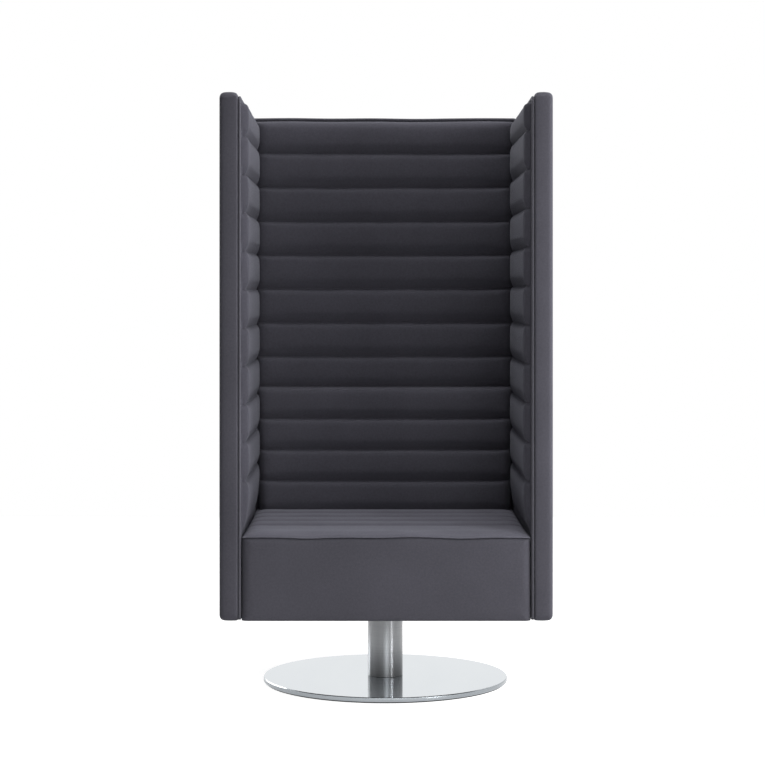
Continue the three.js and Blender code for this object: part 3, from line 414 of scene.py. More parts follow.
# Lets the free points of a pad's face swell like a filled cover, and caps how far each one moves
def swell(bm, cap, label):
    held = bm.verts.layers.int["held"]
    mesh = bpy.data.meshes.new("swelling")
    bm.to_mesh(mesh)
    trial = bpy.data.objects.new("swelling", mesh)
    scene.collection.objects.link(trial)
    group = trial.vertex_groups.new(name="held")
    group.add([v.index for v in bm.verts if v[held]], 1.0, "ADD")
    modifier = trial.modifiers.new("swell", "CLOTH")
    settings = modifier.settings
    settings.vertex_group_mass = "held"
    settings.quality = filling["quality"]
    settings.mass = filling["mass"]
    settings.use_pressure = True
    settings.uniform_pressure_force = filling["pressure"]
    settings.effector_weights.gravity = 0
    settings.tension_stiffness = settings.compression_stiffness = filling["stiffness"]
    settings.bending_stiffness = filling["bending"]
    modifier.point_cache.frame_start, modifier.point_cache.frame_end = 1, filling["frames"]
    for frameNumber in range(1, filling["frames"] + 1):
        scene.frame_set(frameNumber)
    swollen = trial.evaluated_get(bpy.context.evaluated_depsgraph_get()).data
    moves = [target.co - vertex.co for vertex, target in zip(bm.verts, swollen.vertices)]
    for vertex, move in zip(bm.verts, moves):
        vertex.co += move * min(1, cap / max(move.length, 0.000001))
    bpy.data.objects.remove(trial)
    bpy.data.meshes.remove(mesh)
    scene.frame_set(1)
    print(f"{label} swelled, at most by {max(m.length for m in moves) * 1000:.1f} mm")


# Puckers a face along its seams, where the thread gathers the cloth, and makes it a little uneven
def pucker(bm, outward, rows, depth):
    plan = bm.verts.layers.float_vector["plan"]
    held = bm.verts.layers.int["held"]
    for vertex in bm.verts:
        if vertex[held]:
            continue
        _, share, channel = rowAt(rows, vertex[plan].y)
        seam = channel if share < 0.5 else channel + 1
        near = min(share, 1 - share) * sewing["channel"]
        along = vertex.co.y if abs(outward[0]) > 0.5 else vertex.co.x
        gather = noise.noise(Vector((along / sewing["gather"], seam * 3.7, 0.5)))
        uneven = noise.noise(vertex.co * 16.0) * sewing["uneven"]
        vertex.co += Vector(outward) * (depth * gather * math.exp(-near / sewing["reach"]) + uneven)


# Sharpens the edges that lie on a pad's seams
def creaseSeams(bm, rows):
    plan = bm.verts.layers.float_vector["plan"]
    crease = bm.edges.layers.float.new("crease_edge")
    for edge in bm.edges:
        first, second = (v[plan] for v in edge.verts)
        if abs(first.y - second.y) < tiny and first.z == second.z == 0 and rowAt(rows, first.y)[1] == 0:
            edge[crease] = sewing["crease"]


# Polished base disc on its floor ring, and the column

base = {"radius": 0.280, "low": 0.003, "high": 0.013, "chamfer": 0.0016, "footChamfer": 0.0006,
        "bore": 0.0085, "countersink": 0.0155, "countersinkDepth": 0.007, "steps": 192}
floorRing = {"inner": 0.262, "outer": 0.276, "high": 0.0027, "chamfer": 0.0004}
tube = {"bore": 0.037, "radius": 0.040, "low": 0.0133, "high": 0.186, "steps": 128}
turnedEdge = {"round": 0.00025, "sharpFrom": 0.6}


# A profile of radii and heights turned round the Z axis, its sharp edges broken
def turned(profile, steps):
    bm = bmesh.new()
    points = [bm.verts.new((r, 0, z)) for r, z in profile]
    edges = [bm.edges.new(pair) for pair in zip(points, points[1:] + points[:1])]
    bmesh.ops.spin(bm, geom=points + edges, cent=(0, 0, 0), axis=(0, 0, 1), dvec=(0, 0, 0),
                   angle=2 * math.pi, steps=steps, use_merge=True, use_duplicate=False)
    bmesh.ops.remove_doubles(bm, verts=bm.verts, dist=tiny)
    bmesh.ops.recalc_face_normals(bm, faces=bm.faces)
    sharp = [e for e in bm.edges if e.is_manifold and e.calc_face_angle() > turnedEdge["sharpFrom"]]
    bmesh.ops.bevel(bm, geom=sharp, offset=turnedEdge["round"], segments=2, affect="EDGES", profile=0.5,
                    material=-1)
    return bm


rim = base["radius"]
plateProfile = [
    (base["bore"], base["high"]), (rim - base["chamfer"], base["high"]),
    (rim, base["high"] - base["chamfer"]), (rim, base["low"] + base["footChamfer"]),
    (rim - base["footChamfer"], base["low"]), (base["countersink"], base["low"]),
    (base["bore"], base["low"] + base["countersinkDepth"]),
]
newPiece("base_disc", turned(plateProfile, base["steps"]), polished, ["base_plate"],
         "base", levels=0)
inner, outer, chamfer = floorRing["inner"], floorRing["outer"], floorRing["chamfer"]
ringProfile = [
    (inner, floorRing["high"]), (outer, floorRing["high"]), (outer, chamfer), (outer - chamfer, 0.0),
    (inner + chamfer, 0.0), (inner, chamfer),
]
newPiece("floor_ring_pad", turned(ringProfile, base["steps"]), rubber, ["floor_ring"],
         "base", levels=0)
tubeProfile = [
    (tube["bore"], tube["high"]), (tube["radius"], tube["high"]), (tube["radius"], tube["low"]),
    (tube["bore"], tube["low"]),
]
newPiece("column_sleeve", turned(tubeProfile, tube["steps"]), brushed, ["column_tube"],
         "base", levels=0)
print("base made")


# Wings: outer upholstery, welt and channelled pad, for each side

wing = {
    "thickness": 0.040,
    "cornerRadius": 0.0165,
    "dome": 0.0006,  # how far the middle of its rim stands proud of the rim's edges
    "outerRound": 0.0105,
    "innerRound": 0.0042,
    "capRound": 0.009,  # the inner edge is rounder along the top, and tighter along the foot
    "footRound": 0.0025,
    "skin": 0.010,
    "crown": 0.0016,  # how far the outer face stands proud in its middle
    "endBand": 0.07,  # the share of half its height over which the cap's or the foot's rounding takes over
    "columns": 38,
    "rows": 58,
}


def wingTop(y):
    share = (y + body["halfDepth"]) / (2 * body["halfDepth"])
    return body["wingTopFront"] + (body["wingTopBack"] - body["wingTopFront"]) * share


# A point of a rounded rectangle's grid: the corner squares are drawn in to quarter circles
def roundedPlace(index, count, low, high, radius):
    turnSteps = 5
    if index <= turnSteps:
        return low + radius * index / turnSteps, 1 - index / turnSteps, -1
    if index >= count - turnSteps:
        return high - radius * (count - index) / turnSteps, 1 - (count - index) / turnSteps, 1
    share = (index - turnSteps) / (count - 2 * turnSteps)
    return low + radius + (high - low - 2 * radius) * share, 0.0, 0


def roundedPoint(i, columns, j, rows, low, high, radius):
    u, uOut, uEnd = roundedPlace(i, columns, low[0], high[0], radius)
    v, vOut, vEnd = roundedPlace(j, rows, low[1], high[1], radius)
    if uEnd and vEnd:
        u += uEnd * radius * uOut * (math.sqrt(1 - vOut * vOut / 2) - 1)
        v += vEnd * radius * vOut * (math.sqrt(1 - uOut * uOut / 2) - 1)
    return u, v


# How far a cover's face stands out at a share of its width and height: crowned, and a little uneven
def coverRelief(crown, across, up, place):
    return crown * (bulge(across) * bulge(up) - 0.6) + 0.0005 * noise.noise(Vector(place))


# Levels of a cover from its face's seam round both edges to the board's pocket: inset and depth from the face.
# The middle of its rim stands proud of the rim's edges by dome
def coverLevels(thickness, faceRound, rimRound, skin, dome=0.0, seamWidth=0.0018):
    levels = [(faceRound + 2 * seamWidth, 0.0), (faceRound + seamWidth, 0.0), (faceRound, 0.0)]
    for step in range(1, 5):
        turn = math.pi / 2 * step / 4
        levels.append((faceRound * (1 - math.sin(turn)), faceRound * (1 - math.cos(turn))))
    straight = thickness - faceRound - rimRound
    for step in range(1, 7):
        levels.append((0.0, faceRound + straight * step / 6))
    for step in range(1, 4):
        turn = math.pi / 2 * step / 3
        levels.append((rimRound * (1 - math.cos(turn)), faceRound + straight + rimRound * math.sin(turn)))
    middle = faceRound + straight / 2
    levels = [(inset + dome * min(1, abs(depth - middle) / (straight / 2)) ** 2, depth)
              for inset, depth in levels]
    levels.append((skin - 0.0002, thickness))
    levels.append((skin, thickness - 0.0006))
    levels.append((skin, skin))
    return levels


def makeWingCover(side):
    innerRounds = [wing["innerRound"], wing["capRound"], wing["footRound"]]
    levels, capLevels, footLevels = (
        coverLevels(wing["thickness"], wing["outerRound"], r, wing["skin"], wing["dome"]) for r in innerRounds)

    def place(a, b, d):
        level = round(-d * (len(levels) - 1))
        cap = max(0.0, (b - 1 + wing["endBand"]) / wing["endBand"])
        foot = max(0.0, (-b - 1 + wing["endBand"]) / wing["endBand"])
        inset, depth = (v + (w - v) * cap + (u - v) * foot
                        for u, v, w in zip(footLevels[level], levels[level], capLevels[level]))
        low = (-body["halfDepth"] + inset, body["underside"] + inset)
        high = (body["halfDepth"] - inset, body["wingTopFront"] - inset)
        y, z = roundedPoint(round((a + 1) / 2 * wing["columns"]), wing["columns"],
                            round((b + 1) / 2 * wing["rows"]), wing["rows"],
                            low, high, wing["cornerRadius"] - inset)
        backShare = (y + body["halfDepth"]) / (2 * body["halfDepth"])
        upShare = (z - body["underside"]) / (body["wingTopFront"] - body["underside"])
        z -= (body["wingTopFront"] - body["wingTopBack"]) * upShare * backShare
        out = body["halfWidth"] - depth
        if d > -0.001:
            out += coverRelief(wing["crown"], backShare, upShare, (side * 9.0, y * 7.0, z * 7.0))
        return Vector((side * out, y, z))

    bm = padFace(wing["columns"], wing["rows"], place, lambda a, b: True, Vector((side, 0, 0)))
    return closePad(bm, len(levels) - 1, place)


for side, label in ((1, "right"), (-1, "left")):
    newPiece(f"{label}_wing_upholstery", makeWingCover(side), plainCloth, [f"{label}_wing_cover"])
print("wing covers made")

welt = {
    "front": -0.322,
    "depth": 0.012,
    "outer": 0.3197,
    "thickness": 0.0065,
    "squareness": 0.85,
    "drop": 0.009,  # how far it lies below the wing's top
    "lift": 0.004,  # and above its foot
    "cornerRadius": 0.008,
    "frontSteps": 40,
    "cornerSteps": 6,
    "topSteps": 24,
    "sectionSteps": 20,
}


# Draws a closed section along a path of (place, outward) pairs in the Y-Z plane
def sweptSection(path, centreX, halfAcross, halfDeep, steps, side):
    bm = bmesh.new()
    ring = bmesh.ops.create_circle(bm, cap_ends=False, radius=1, segments=steps)["verts"]
    for vertex in ring:
        angle = math.atan2(vertex.co.y, vertex.co.x)
        c, s = math.cos(angle), math.sin(angle)
        vertex.co = (math.copysign(abs(c) ** welt["squareness"], c),
                     math.copysign(abs(s) ** welt["squareness"], s), 0)
    shape = [(v.co.x, v.co.y) for v in ring]

    def layRing(verts, place, outward):
        for vertex, (across, deep) in zip(verts, shape):
            vertex.co = Vector((side * (centreX + across * halfAcross),
                                place[0] + outward[0] * deep * halfDeep,
                                place[1] + outward[1] * deep * halfDeep))

    layRing(ring, *path[0])
    edges = bm.edges[:]
    bmesh.ops.contextual_create(bm, geom=edges)
    for place, outward in path[1:]:
        made = bmesh.ops.extrude_edge_only(bm, edges=edges)["geom"]
        fresh = {g for g in made if isinstance(g, bmesh.types.BMVert)}
        ring = [next(e.other_vert(v) for e in v.link_edges if e.other_vert(v) in fresh) for v in ring]
        layRing(ring, place, outward)
        edges = [g for g in made if isinstance(g, bmesh.types.BMEdge) and fresh.issuperset(g.verts)]
    bmesh.ops.contextual_create(bm, geom=edges)
    return bm


def weltPath():
    def topAt(y):
        return wingTop(y) - welt["drop"] - welt["depth"] / 2

    middle = welt["front"] + welt["depth"] / 2
    radius = welt["cornerRadius"]
    low = body["underside"] + welt["lift"]
    path = []
    corner = topAt(middle) - radius
    for i in range(welt["frontSteps"]):
        path.append(((middle, low + (corner - low) * i / welt["frontSteps"]), (-1, 0)))
    for i in range(welt["cornerSteps"] + 1):
        turn = math.pi / 2 * i / welt["cornerSteps"]
        place = (middle + radius * (1 - math.cos(turn)), corner + radius * math.sin(turn))
        path.append((place, (-math.cos(turn), math.sin(turn))))
    start = middle + radius
    for i in range(1, welt["topSteps"] + 1):
        y = start + (body["boardFace"] - start) * i / welt["topSteps"]
        path.append(((y, topAt(y)), (0.0, 1.0)))
    return path


for side, label in ((1, "right"), (-1, "left")):
    bm = sweptSection(weltPath(), welt["outer"] - welt["thickness"] / 2,
                      welt["thickness"] / 2, welt["depth"] / 2, welt["sectionSteps"], side)
    newPiece(f"{label}_wing_lip", bm, weltCloth, [f"{label}_wing_welt"], levels=0)
print("welts made")

wingPad = {
    "pressed": 0.0066,
    "sewn": 0.0134,
    "crown": 0.0088,
    "startShare": 0.95,  # of its crown that a channel has before it swells
    "edgeRound": 0.014,
    "topRound": 0.010,
    "topChannel": 0.080,  # as high as its top channel counts where its top is rounded
    "foot": 0.187,
    "seatTop": 0.3765,  # from here up its thickness grows
    "plainTop": 0.3763,
    "high": 1.300,
    "frontDip": 0.009,  # how far its seams lie back in its front edge
    "dipFrom": 0.0012,  # its rim stays at the welt: the dip grows over this distance from it
    "upperDepth": 0.042,  # it is pressed flat beside the upper back pad, which stands this far off its board
    "tuck": 0.110,  # it is drawn in over this depth in front of that pad
    "tuckShares": [(0, 1), (0.5, 0.85), (0.85, 0.6), (1, 0)],
    "seatRise": 0.075,  # above the seat it comes out to its full thickness over this height
    "lowestSeam": 0.4855,
    "pitch": {"right": 0.0844, "left": 0.0830},
    "channels": 10,
    "columns": 72,
    "cap": 0.0012,  # how far swelling may move a point
    "pucker": 0.0008,
}
padFront = welt["front"] + welt["depth"] + body["gap"]
upperFace = body["boardFace"] - wingPad["upperDepth"]


def tableAt(table, t):
    for (t0, v0), (t1, v1) in zip(table, table[1:]):
        if t <= t1:
            return v0 + (v1 - v0) * max(0, t - t0) / (t1 - t0)
    return table[-1][1]


# How far the wing's pad may stand off its board, between pressed flat and free
def wingFree(y, z):
    front = roll((y - padFront) / wingPad["edgeRound"])
    back = tableAt(wingPad["tuckShares"], (y - upperFace + wingPad["tuck"]) / wingPad["tuck"])
    seat = min(1, max(0.0, (z - wingPad["seatTop"]) / wingPad["seatRise"])) ** 0.45
    return front * back * seat


def makeWingPad(side, label):
    seams = [wingPad["lowestSeam"] + wingPad["pitch"][label] * i for i in range(wingPad["channels"])]
    edges = [wingPad["foot"], wingPad["plainTop"], *seams, wingPad["high"]]
    rows = channelRows(edges, plainChannels=[0])

    def place(a, b, d):
        z, share, channel = rowAt(rows, b)
        y = padFront + (body["boardFace"] - padFront) * ((a + 1) / 2) ** 1.5
        frontShare = 1 - roll((y - padFront) / wingPad["edgeRound"])
        if channel == len(edges) - 2:
            top = wingTop(y) - welt["drop"] - welt["depth"] - body["gap"]
            z = seams[-1] + (top - seams[-1]) * share
        swelling = 0.0 if channel == 0 else wingPad["crown"] * wingPad["startShare"] * fullness(share)
        thickness = wingPad["pressed"]
        thickness += (wingPad["sewn"] - wingPad["pressed"] + swelling) * wingFree(y, z)
        if channel == len(edges) - 2:
            topLift = edgeLift((1 - share) * wingPad["topChannel"], wingPad["topRound"])
            thickness = wingPad["pressed"] + (thickness - wingPad["pressed"]) * topLift
        if channel > 0:
            dip = wingPad["frontDip"] * (1 - fullness(share)) * frontShare
            y += dip * min(1, (y - padFront) / wingPad["dipFrom"])
        z += wander(y * 1.3 + side, z, 0.40, 1.30)
        return Vector((side * (body["wingInner"] - body["gap"] - thickness * (1 + d)), y, z))

    def isHeld(a, b):
        z, share, channel = rowAt(rows, b)
        return share == 0 or channel == 0 or place(a, b, 0).y > upperFace

    outward = Vector((-side, 0, 0))
    bm = padFace(wingPad["columns"], len(rows) - 1, place, isHeld, outward)
    swell(bm, wingPad["cap"], label + " wing pad")
    pucker(bm, outward, rows, wingPad["pucker"])
    closePad(bm, 2, place)
    creaseSeams(bm, rows)
    return bm


for side, label in ((1, "right"), (-1, "left")):
    newPiece(f"{label}_wing_quilt", makeWingPad(side, label), quiltCloth, [f"{label}_wing_pad"])
print("wing pads made")


# Back: the plain cover behind the board, the upper pad and the lumbar pad

backCover = {
    "half": 0.3197,
    "front": 0.282,
    "top": 1.317,
    "rearRound": 0.014,
    "frontRound": 0.005,
    "sideRound": 0.003,
    "skin": 0.010,
    "crown": 0.0016,
    "lipInsets": ((0.0004, 0.0004), (0.0002, 0.0003)),  # how far two levels of its lip lie outwards and back
    "groove": 0.009,  # how far the lip lies back along the top
    "lipEdge": 0.0007,
    "grooveBand": 0.1,  # the share of half its height over which the groove deepens
    "topWave": 0.0030,
    "waveReach": 0.02,  # below the top, where the wave fades out
    "columns": 36,
    "rows": 58,
}


# How far the back's upper edge wanders up, never down
def topWave(x, share):
    rise = max(0.0, 0.5 + noise.noise(Vector((x * 6.0, 2.0, 4.0))))
    return backCover["topWave"] * max(0.0, min(1.0, share)) * rise


def makeBackCover():
    thickness = body["halfDepth"] - backCover["front"]
    levels = coverLevels(thickness, backCover["rearRound"], backCover["frontRound"], backCover["skin"])
    sideLevels = coverLevels(thickness, backCover["sideRound"], backCover["sideRound"], backCover["skin"] / 2)
    for table in (levels, sideLevels):
        for inset, depth in backCover["lipInsets"]:
            table.insert(len(table) - 3, (table[-3][0] - inset, thickness - depth))
    grooveLevel = len(levels) - 5

    def place(a, b, d):
        level = round(-d * (len(levels) - 1))
        inset, depth = levels[level]
        sideInset = sideLevels[level][0]
        low = (-backCover["half"] + sideInset, body["underside"] + inset)
        high = (backCover["half"] - sideInset, backCover["top"] - inset)
        x, z = roundedPoint(round((a + 1) / 2 * backCover["columns"]), backCover["columns"],
                            round((b + 1) / 2 * backCover["rows"]), backCover["rows"], low, high,
                            backCover["sideRound"])
        y = body["halfDepth"] - depth
        if level < grooveLevel:
            z += topWave(x, (z - backCover["top"] + backCover["waveReach"]) / backCover["waveReach"])
        else:
            deep = {grooveLevel: backCover["groove"], grooveLevel + 1: backCover["lipEdge"]}.get(level, 0.0)
            y += deep * max(0.0, (b - 1 + backCover["grooveBand"]) / backCover["grooveBand"])
        if d > -0.001:
            across = (x + backCover["half"]) / (2 * backCover["half"])
            upShare = (z - low[1]) / (high[1] - low[1])
            y += coverRelief(backCover["crown"], across, upShare, (x * 7.0, 5.0, z * 7.0))
        return Vector((x, y, z))

    bm = padFace(backCover["columns"], backCover["rows"], place, lambda a, b: True, Vector((0, 1, 0)))
    return closePad(bm, len(levels) - 1, place)


newPiece("back_upholstery", makeBackCover(), plainCloth, ["back_cover"])

backPad = {
    "seatHalf": 0.3125,
    "topHalf": 0.3125,
    "seatDepth": 0.0280,
    "topDepth": 0.0280,
    "crown": 0.0135,
    "startShare": 0.95,
    "edgeRound": 0.026,
    "topRound": 0.014,
    "topEdgeShare": 0.25,  # of its depth at the seams that it has along its top
    "low": 0.6653,
    "high": 1.3074,
    "topSeam": 1.2303,
    "pitch": 0.0818,
    "seams": 7,
    "columns": 84,
    "cap": 0.0012,
    "pucker": 0.0008,
}
lumbarPad = {
    "seatHalf": 0.3048,
    "topHalf": 0.3104,
    "rearHalf": 0.3125,
    "stepDepth": 0.0415,  # up to this depth off its board it is as wide as rearHalf
    "seatDepth": 0.0780,
    "topDepth": 0.0380,
    "crown": 0.0125,
    "startShare": 0.95,
    "edgeRound": 0.026,
    "topRound": 0.014,
    "topEdgeShare": 0.5,
    "low": 0.3703,
    "high": 0.668,
    "topSeam": 0.5895,
    "pitch": 0.074,
    "seams": 3,
    "columns": 84,
    "cap": 0.0012,
    "pucker": 0.0008,
}


def makeBackPad(values, label):
    seams = [values["topSeam"] - values["pitch"] * i for i in range(values["seams"])]
    edges = sorted([values["low"], *seams, values["high"]])
    rows = channelRows(edges)

    def place(a, b, d):
        z, share, channel = rowAt(rows, b)
        upShare = (z - values["low"]) / (values["high"] - values["low"])
        half = values["seatHalf"] + (values["topHalf"] - values["seatHalf"]) * upShare
        depth = values["seatDepth"] + (values["topDepth"] - values["seatDepth"]) * upShare
        x = spread(a) * half
        lift = edgeLift(half - abs(x), values["edgeRound"])
        edgeShare = values["topEdgeShare"]
        topShare = edgeShare + (1 - edgeShare) * edgeLift(values["high"] - z, values["topRound"])
        thickness = depth * topShare * (0.5 + 0.5 * lift)
        thickness += values["crown"] * values["startShare"] * fullness(share) * lift
        inward = thickness * (1 + d)
        if "rearHalf" in values and d < 0:
            step = min(values["stepDepth"], 0.9 * thickness)
            inward = (step, step * 0.98, 0)[round(-d * 3) - 1]
            if d < -0.5:
                x = spread(a) * values["rearHalf"]
        z += wander(x, z, values["low"], values["high"])
        if values is backPad:
            z += topWave(x, (z - values["topSeam"]) / (values["high"] - values["topSeam"]))
        return Vector((x, body["boardFace"] - inward, z))

    outward = Vector((0, -1, 0))
    bm = padFace(values["columns"], len(rows) - 1, place, lambda a, b: rowAt(rows, b)[1] == 0, outward)
    swell(bm, values["cap"], label)
    pucker(bm, outward, rows, values["pucker"])
    closePad(bm, 3, place)
    creaseSeams(bm, rows)
    return bm


newPiece("upper_back_quilt", makeBackPad(backPad, "upper back pad"), quiltCloth, ["upper_back_pad"])
newPiece("lumbar_quilt", makeBackPad(lumbarPad, "lumbar pad"), quiltCloth, ["lumbar_pad"])
print("back made")


# Seat: the channelled cushion and the plain front

seat = {
    "half": 0.311,
    "front": -0.3235,
    "frameFront": -0.2897,
    "seamHeight": 0.364,
    "lip": 0.002,
    "high": 0.376,
    "rearHigh": 0.370,
    "rear": 0.2817,
    "low": 0.2902,
    "pressLine": 0.1904,
    "frontRound": 0.046,
    "sideRound": 0.030,
    "drawIn": 0.003,
    "firstSeam": -0.150,
    "pitch": 0.085,
    "seams": 4,
    "dip": 0.0075,
    "dipShare": 0.15,  # of the first channel, where it dips to its seam
    "rollShare": 0.16,
    "seamWave": 0.0030,
    "waveGap": 0.001,  # in front of the frame, where the wave begins
    "waveReach": 0.02,
    "columns": 84,
    "cap": 0.0010,
    "pucker": 0.0006,
}


# How far the seam between the cushion and its front wanders up or down, growing forwards from the frame
def seamWave(x, y, share=1.0):
    share *= (seat["frameFront"] - seat["waveGap"] - y) / seat["waveReach"]
    return seat["seamWave"] * max(0.0, min(1.0, share)) * noise.noise(Vector((x * 9.0, 7.0, 1.0)))


def makeSeat():
    seams = [seat["firstSeam"] + seat["pitch"] * i for i in range(seat["seams"])]
    edges = [seat["front"], seat["front"] + seat["frontRound"], *seams, seat["pressLine"], seat["rear"]]
    rows = channelRows(edges, plainChannels=[len(edges) - 2])
    edgeHeight = seat["seamHeight"] + seat["lip"]

    def place(a, b, d):
        y, share, channel = rowAt(rows, b)
        alongShare = (y - seat["front"]) / (seat["rear"] - seat["front"])
        half = seat["half"] - seat["drawIn"] * math.sin(math.pi * alongShare)
        x = spread(a) * half
        if channel == 0:
            high = edgeHeight + (seat["high"] - edgeHeight) * edgeLift(y - seat["front"], seat["frontRound"])
        elif channel == 1:
            dipped = max(0.0, (share - 1 + seat["dipShare"]) / seat["dipShare"])
            high = seat["high"] - seat["dip"] * dipped ** 1.5
        elif y < seat["pressLine"] - 0.0001:
            high = seat["high"] - seat["dip"] * (1 - fullness(share, seat["rollShare"], seat["rollShare"]))
        else:
            high = seat["rearHigh"] - 0.0004
        z = edgeHeight + (high - edgeHeight) * edgeLift(half - abs(x), seat["sideRound"])
        if d < 0:
            wall = (min(z, seat["seamHeight"] + 2 * body["gap"]), seat["seamHeight"] + body["gap"], seat["low"])
            z = wall[round(-d * 3) - 1]
            if d < -0.5 and y < seat["frameFront"]:
                y = seat["frameFront"] + (y - seat["frameFront"]) * 0.01
        return Vector((x, y, z + seamWave(x, y)))

    def isHeld(a, b):
        y, share, channel = rowAt(rows, b)
        return y > seat["pressLine"] - 0.0001 or (share == 0 and channel > 1)

    outward = Vector((0, 0, 1))
    bm = padFace(seat["columns"], len(rows) - 1, place, isHeld, outward)
    swell(bm, seat["cap"], "seat cushion")
    pucker(bm, outward, rows, seat["pucker"])
    closePad(bm, 3, place)
    creaseSeams(bm, rows)
    return bm


newPiece("seat_quilt", makeSeat(), seatClothPaintedLit, ["seat_cushion"])

seatFront = {
    "footHalf": 0.3125,
    "topHalf": 0.311,
    "front": -0.325,
    "rear": -0.2903,
    "low": 0.185,
    "high": 0.3637,
    "sideRound": 0.014,
    "footRound": 0.008,
    "topRound": 0.004,
    "room": 0.0012,  # left in front of it for its swelling
    "waveShare": 0.3,  # of its height, below its top, over which its seam's wave grows
    "columns": 84,
    "rows": 28,
    "cap": 0.0008,
}


def makeSeatFront():
    def place(a, b, d):
        upShare = (b + 1) / 2
        half = seatFront["footHalf"] + (seatFront["topHalf"] - seatFront["footHalf"]) * upShare
        x = math.copysign(math.sin(math.pi / 2 * abs(a)) ** 0.9, a) * half
        z = seatFront["low"] + (seatFront["high"] - seatFront["low"]) * (1 - math.cos(math.pi * upShare)) / 2
        inset = seatFront["sideRound"] * (1 - edgeLift(half - abs(x), seatFront["sideRound"]))
        inset += seatFront["footRound"] * (1 - edgeLift(z - seatFront["low"], seatFront["footRound"]))
        inset += seatFront["topRound"] * (1 - edgeLift(seatFront["high"] - z, seatFront["topRound"]))
        thickness = seatFront["rear"] - seatFront["front"] - seatFront["room"] - inset
        y = seatFront["rear"] - thickness * (1 + d)
        waveShare = max(0.0, upShare - 1 + seatFront["waveShare"]) / seatFront["waveShare"]
        return Vector((x, y, z + seamWave(x, y, waveShare)))

    bm = padFace(seatFront["columns"], seatFront["rows"], place, lambda a, b: False, Vector((0, -1, 0)))
    swell(bm, seatFront["cap"], "seat front")
    return closePad(bm, 3, place)


newPiece("seat_front_upholstery", makeSeatFront(), plainCloth, ["seat_front_pad"])
print("seat made")

for name, node in nodes.items():
    if name not in dressed and node.visible_get():
        for slot in node.material_slots:
            slot.material = plated


# Stage, lights and camera

studio = {
    "floorHalf": 3.5,
    "floorColour": "#bcbcbc",
    "floorGlow": 0.86,
    "ambient": 0.10,  # how much the white background lights the chair
    "unseenInMetal": ("side", "near"),  # lamps that glossy rays miss, so that the steel doesn't mirror them
    "onlyInMetal": ("strip",),  # the lamp that draws the column's highlight, missed by diffuse rays
    "lamps": {
        "overhead": {"place": (0.1, -0.15, 3.9), "aim": (0, -0.1, 0.4), "size": (1.0, 1.0), "power": 62},
        "near": {"place": (1.6, -1.5, 0.9), "aim": (0, 0, 0.8), "size": (0.8, 0.8), "power": 20},
        "front": {"place": (1.2, -4.5, 1.6), "aim": (0, 0, 0.8), "size": (1.8, 1.8), "power": 34},
        "middle": {"place": (0.2, -4.5, 2.2), "aim": (0, 0, 0.8), "size": (1.8, 1.8), "power": 28},
        "side": {"place": (3.3, -0.5, 1.5), "aim": (0, 0, 0.8), "size": (1.6, 1.6), "power": 130},
        "strip": {"place": (2.55, -2.65, 1.3), "aim": (0, 0, 0.6), "size": (0.2, 2.5), "power": 52},
        "back": {"place": (-2.6, 3.3, 1.9), "aim": (0, 0, 0.8), "size": (2.0, 2.0), "power": 80},
    },
}


# 1 for what the camera sees directly, in metal or through glass, and 0 for the light that falls on the chair
def seenDirectly(tree):
    rays = addNode(tree, "LightPath").outputs
    seen = calculate(tree, "MAXIMUM", rays["Is Camera Ray"], rays["Is Glossy Ray"])
    return calculate(tree, "MAXIMUM", seen, rays["Is Transmission Ray"])


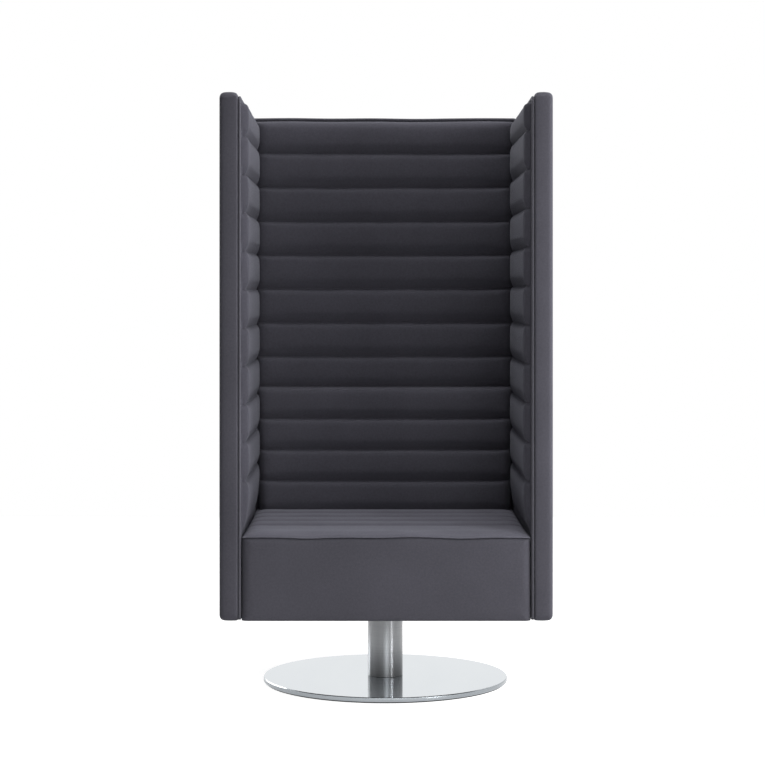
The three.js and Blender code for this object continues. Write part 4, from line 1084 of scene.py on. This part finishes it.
# The floor glows where it is seen, so that it looks an even white, and otherwise only reflects the lamps
def makeStage():
    bm = bmesh.new()
    bmesh.ops.create_grid(bm, x_segments=1, y_segments=1, size=studio["floorHalf"])
    mesh = bpy.data.meshes.new("studio_floor")
    bm.to_mesh(mesh)
    bm.free()
    floor = bpy.data.objects.new("studio_floor", mesh)
    scene.collection.objects.link(floor)
    material, tree, shader = newMaterial("white studio floor")
    shader.inputs["Base Color"].default_value = linearColour(studio["floorColour"])
    shader.inputs["Roughness"].default_value = 1.0
    shader.inputs["Specular IOR Level"].default_value = 0.0
    glow = addNode(tree, "Emission", inputs={"Color": (1, 1, 1, 1), "Strength": studio["floorGlow"]})
    dark = addNode(tree, "Emission", inputs={"Color": (0, 0, 0, 1), "Strength": 0.0})
    lit = addNode(tree, "MixShader")
    tree.links.new(seenDirectly(tree), lit.inputs[0])
    tree.links.new(dark.outputs[0], lit.inputs[1])
    tree.links.new(glow.outputs[0], lit.inputs[2])
    total = addNode(tree, "AddShader")
    tree.links.new(shader.outputs[0], total.inputs[0])
    tree.links.new(lit.outputs[0], total.inputs[1])
    tree.links.new(total.outputs[0], tree.nodes["Material Output"].inputs["Surface"])
    mesh.materials.append(material)


def makeWorld():
    world = bpy.data.worlds.new("studio")
    scene.world = world
    world.use_nodes = True
    tree = world.node_tree
    level = addNode(tree, "MapRange", inputs={
        "Value": seenDirectly(tree), "To Min": studio["ambient"], "To Max": 1.0})
    background = tree.nodes["Background"]
    background.inputs["Color"].default_value = (1, 1, 1, 1)
    tree.links.new(level.outputs["Result"], background.inputs["Strength"])


def makeLamps():
    for name, lamp in studio["lamps"].items():
        data = bpy.data.lights.new(name + " lamp", "AREA")
        data.shape = "RECTANGLE"
        data.size, data.size_y = lamp["size"]
        data.energy = lamp["power"]
        holder = bpy.data.objects.new(name + "_lamp", data)
        holder.location = lamp["place"]
        holder.visible_glossy = name not in studio["unseenInMetal"]
        holder.visible_diffuse = name not in studio["onlyInMetal"]
        sight = Vector(lamp["aim"]) - Vector(lamp["place"])
        holder.rotation_euler = sight.to_track_quat("-Z", "Y").to_euler()
        scene.collection.objects.link(holder)


camera = {"lens": 100.52, "sensor": 36, "place": (-0.0295, -4.925, 0.901), "shift": (0.0131, -0.1217)}


def makeCamera():
    data = bpy.data.cameras.new("camera")
    data.lens = camera["lens"]
    data.sensor_width = camera["sensor"]
    data.shift_x, data.shift_y = camera["shift"]
    holder = bpy.data.objects.new("camera", data)
    holder.location = camera["place"]
    holder.rotation_euler = (math.pi / 2, 0, 0)
    scene.collection.objects.link(holder)
    scene.camera = holder


makeStage()
makeWorld()
makeLamps()
makeCamera()
scene.view_settings.view_transform = "Standard"
print("stage, lamps and camera made")
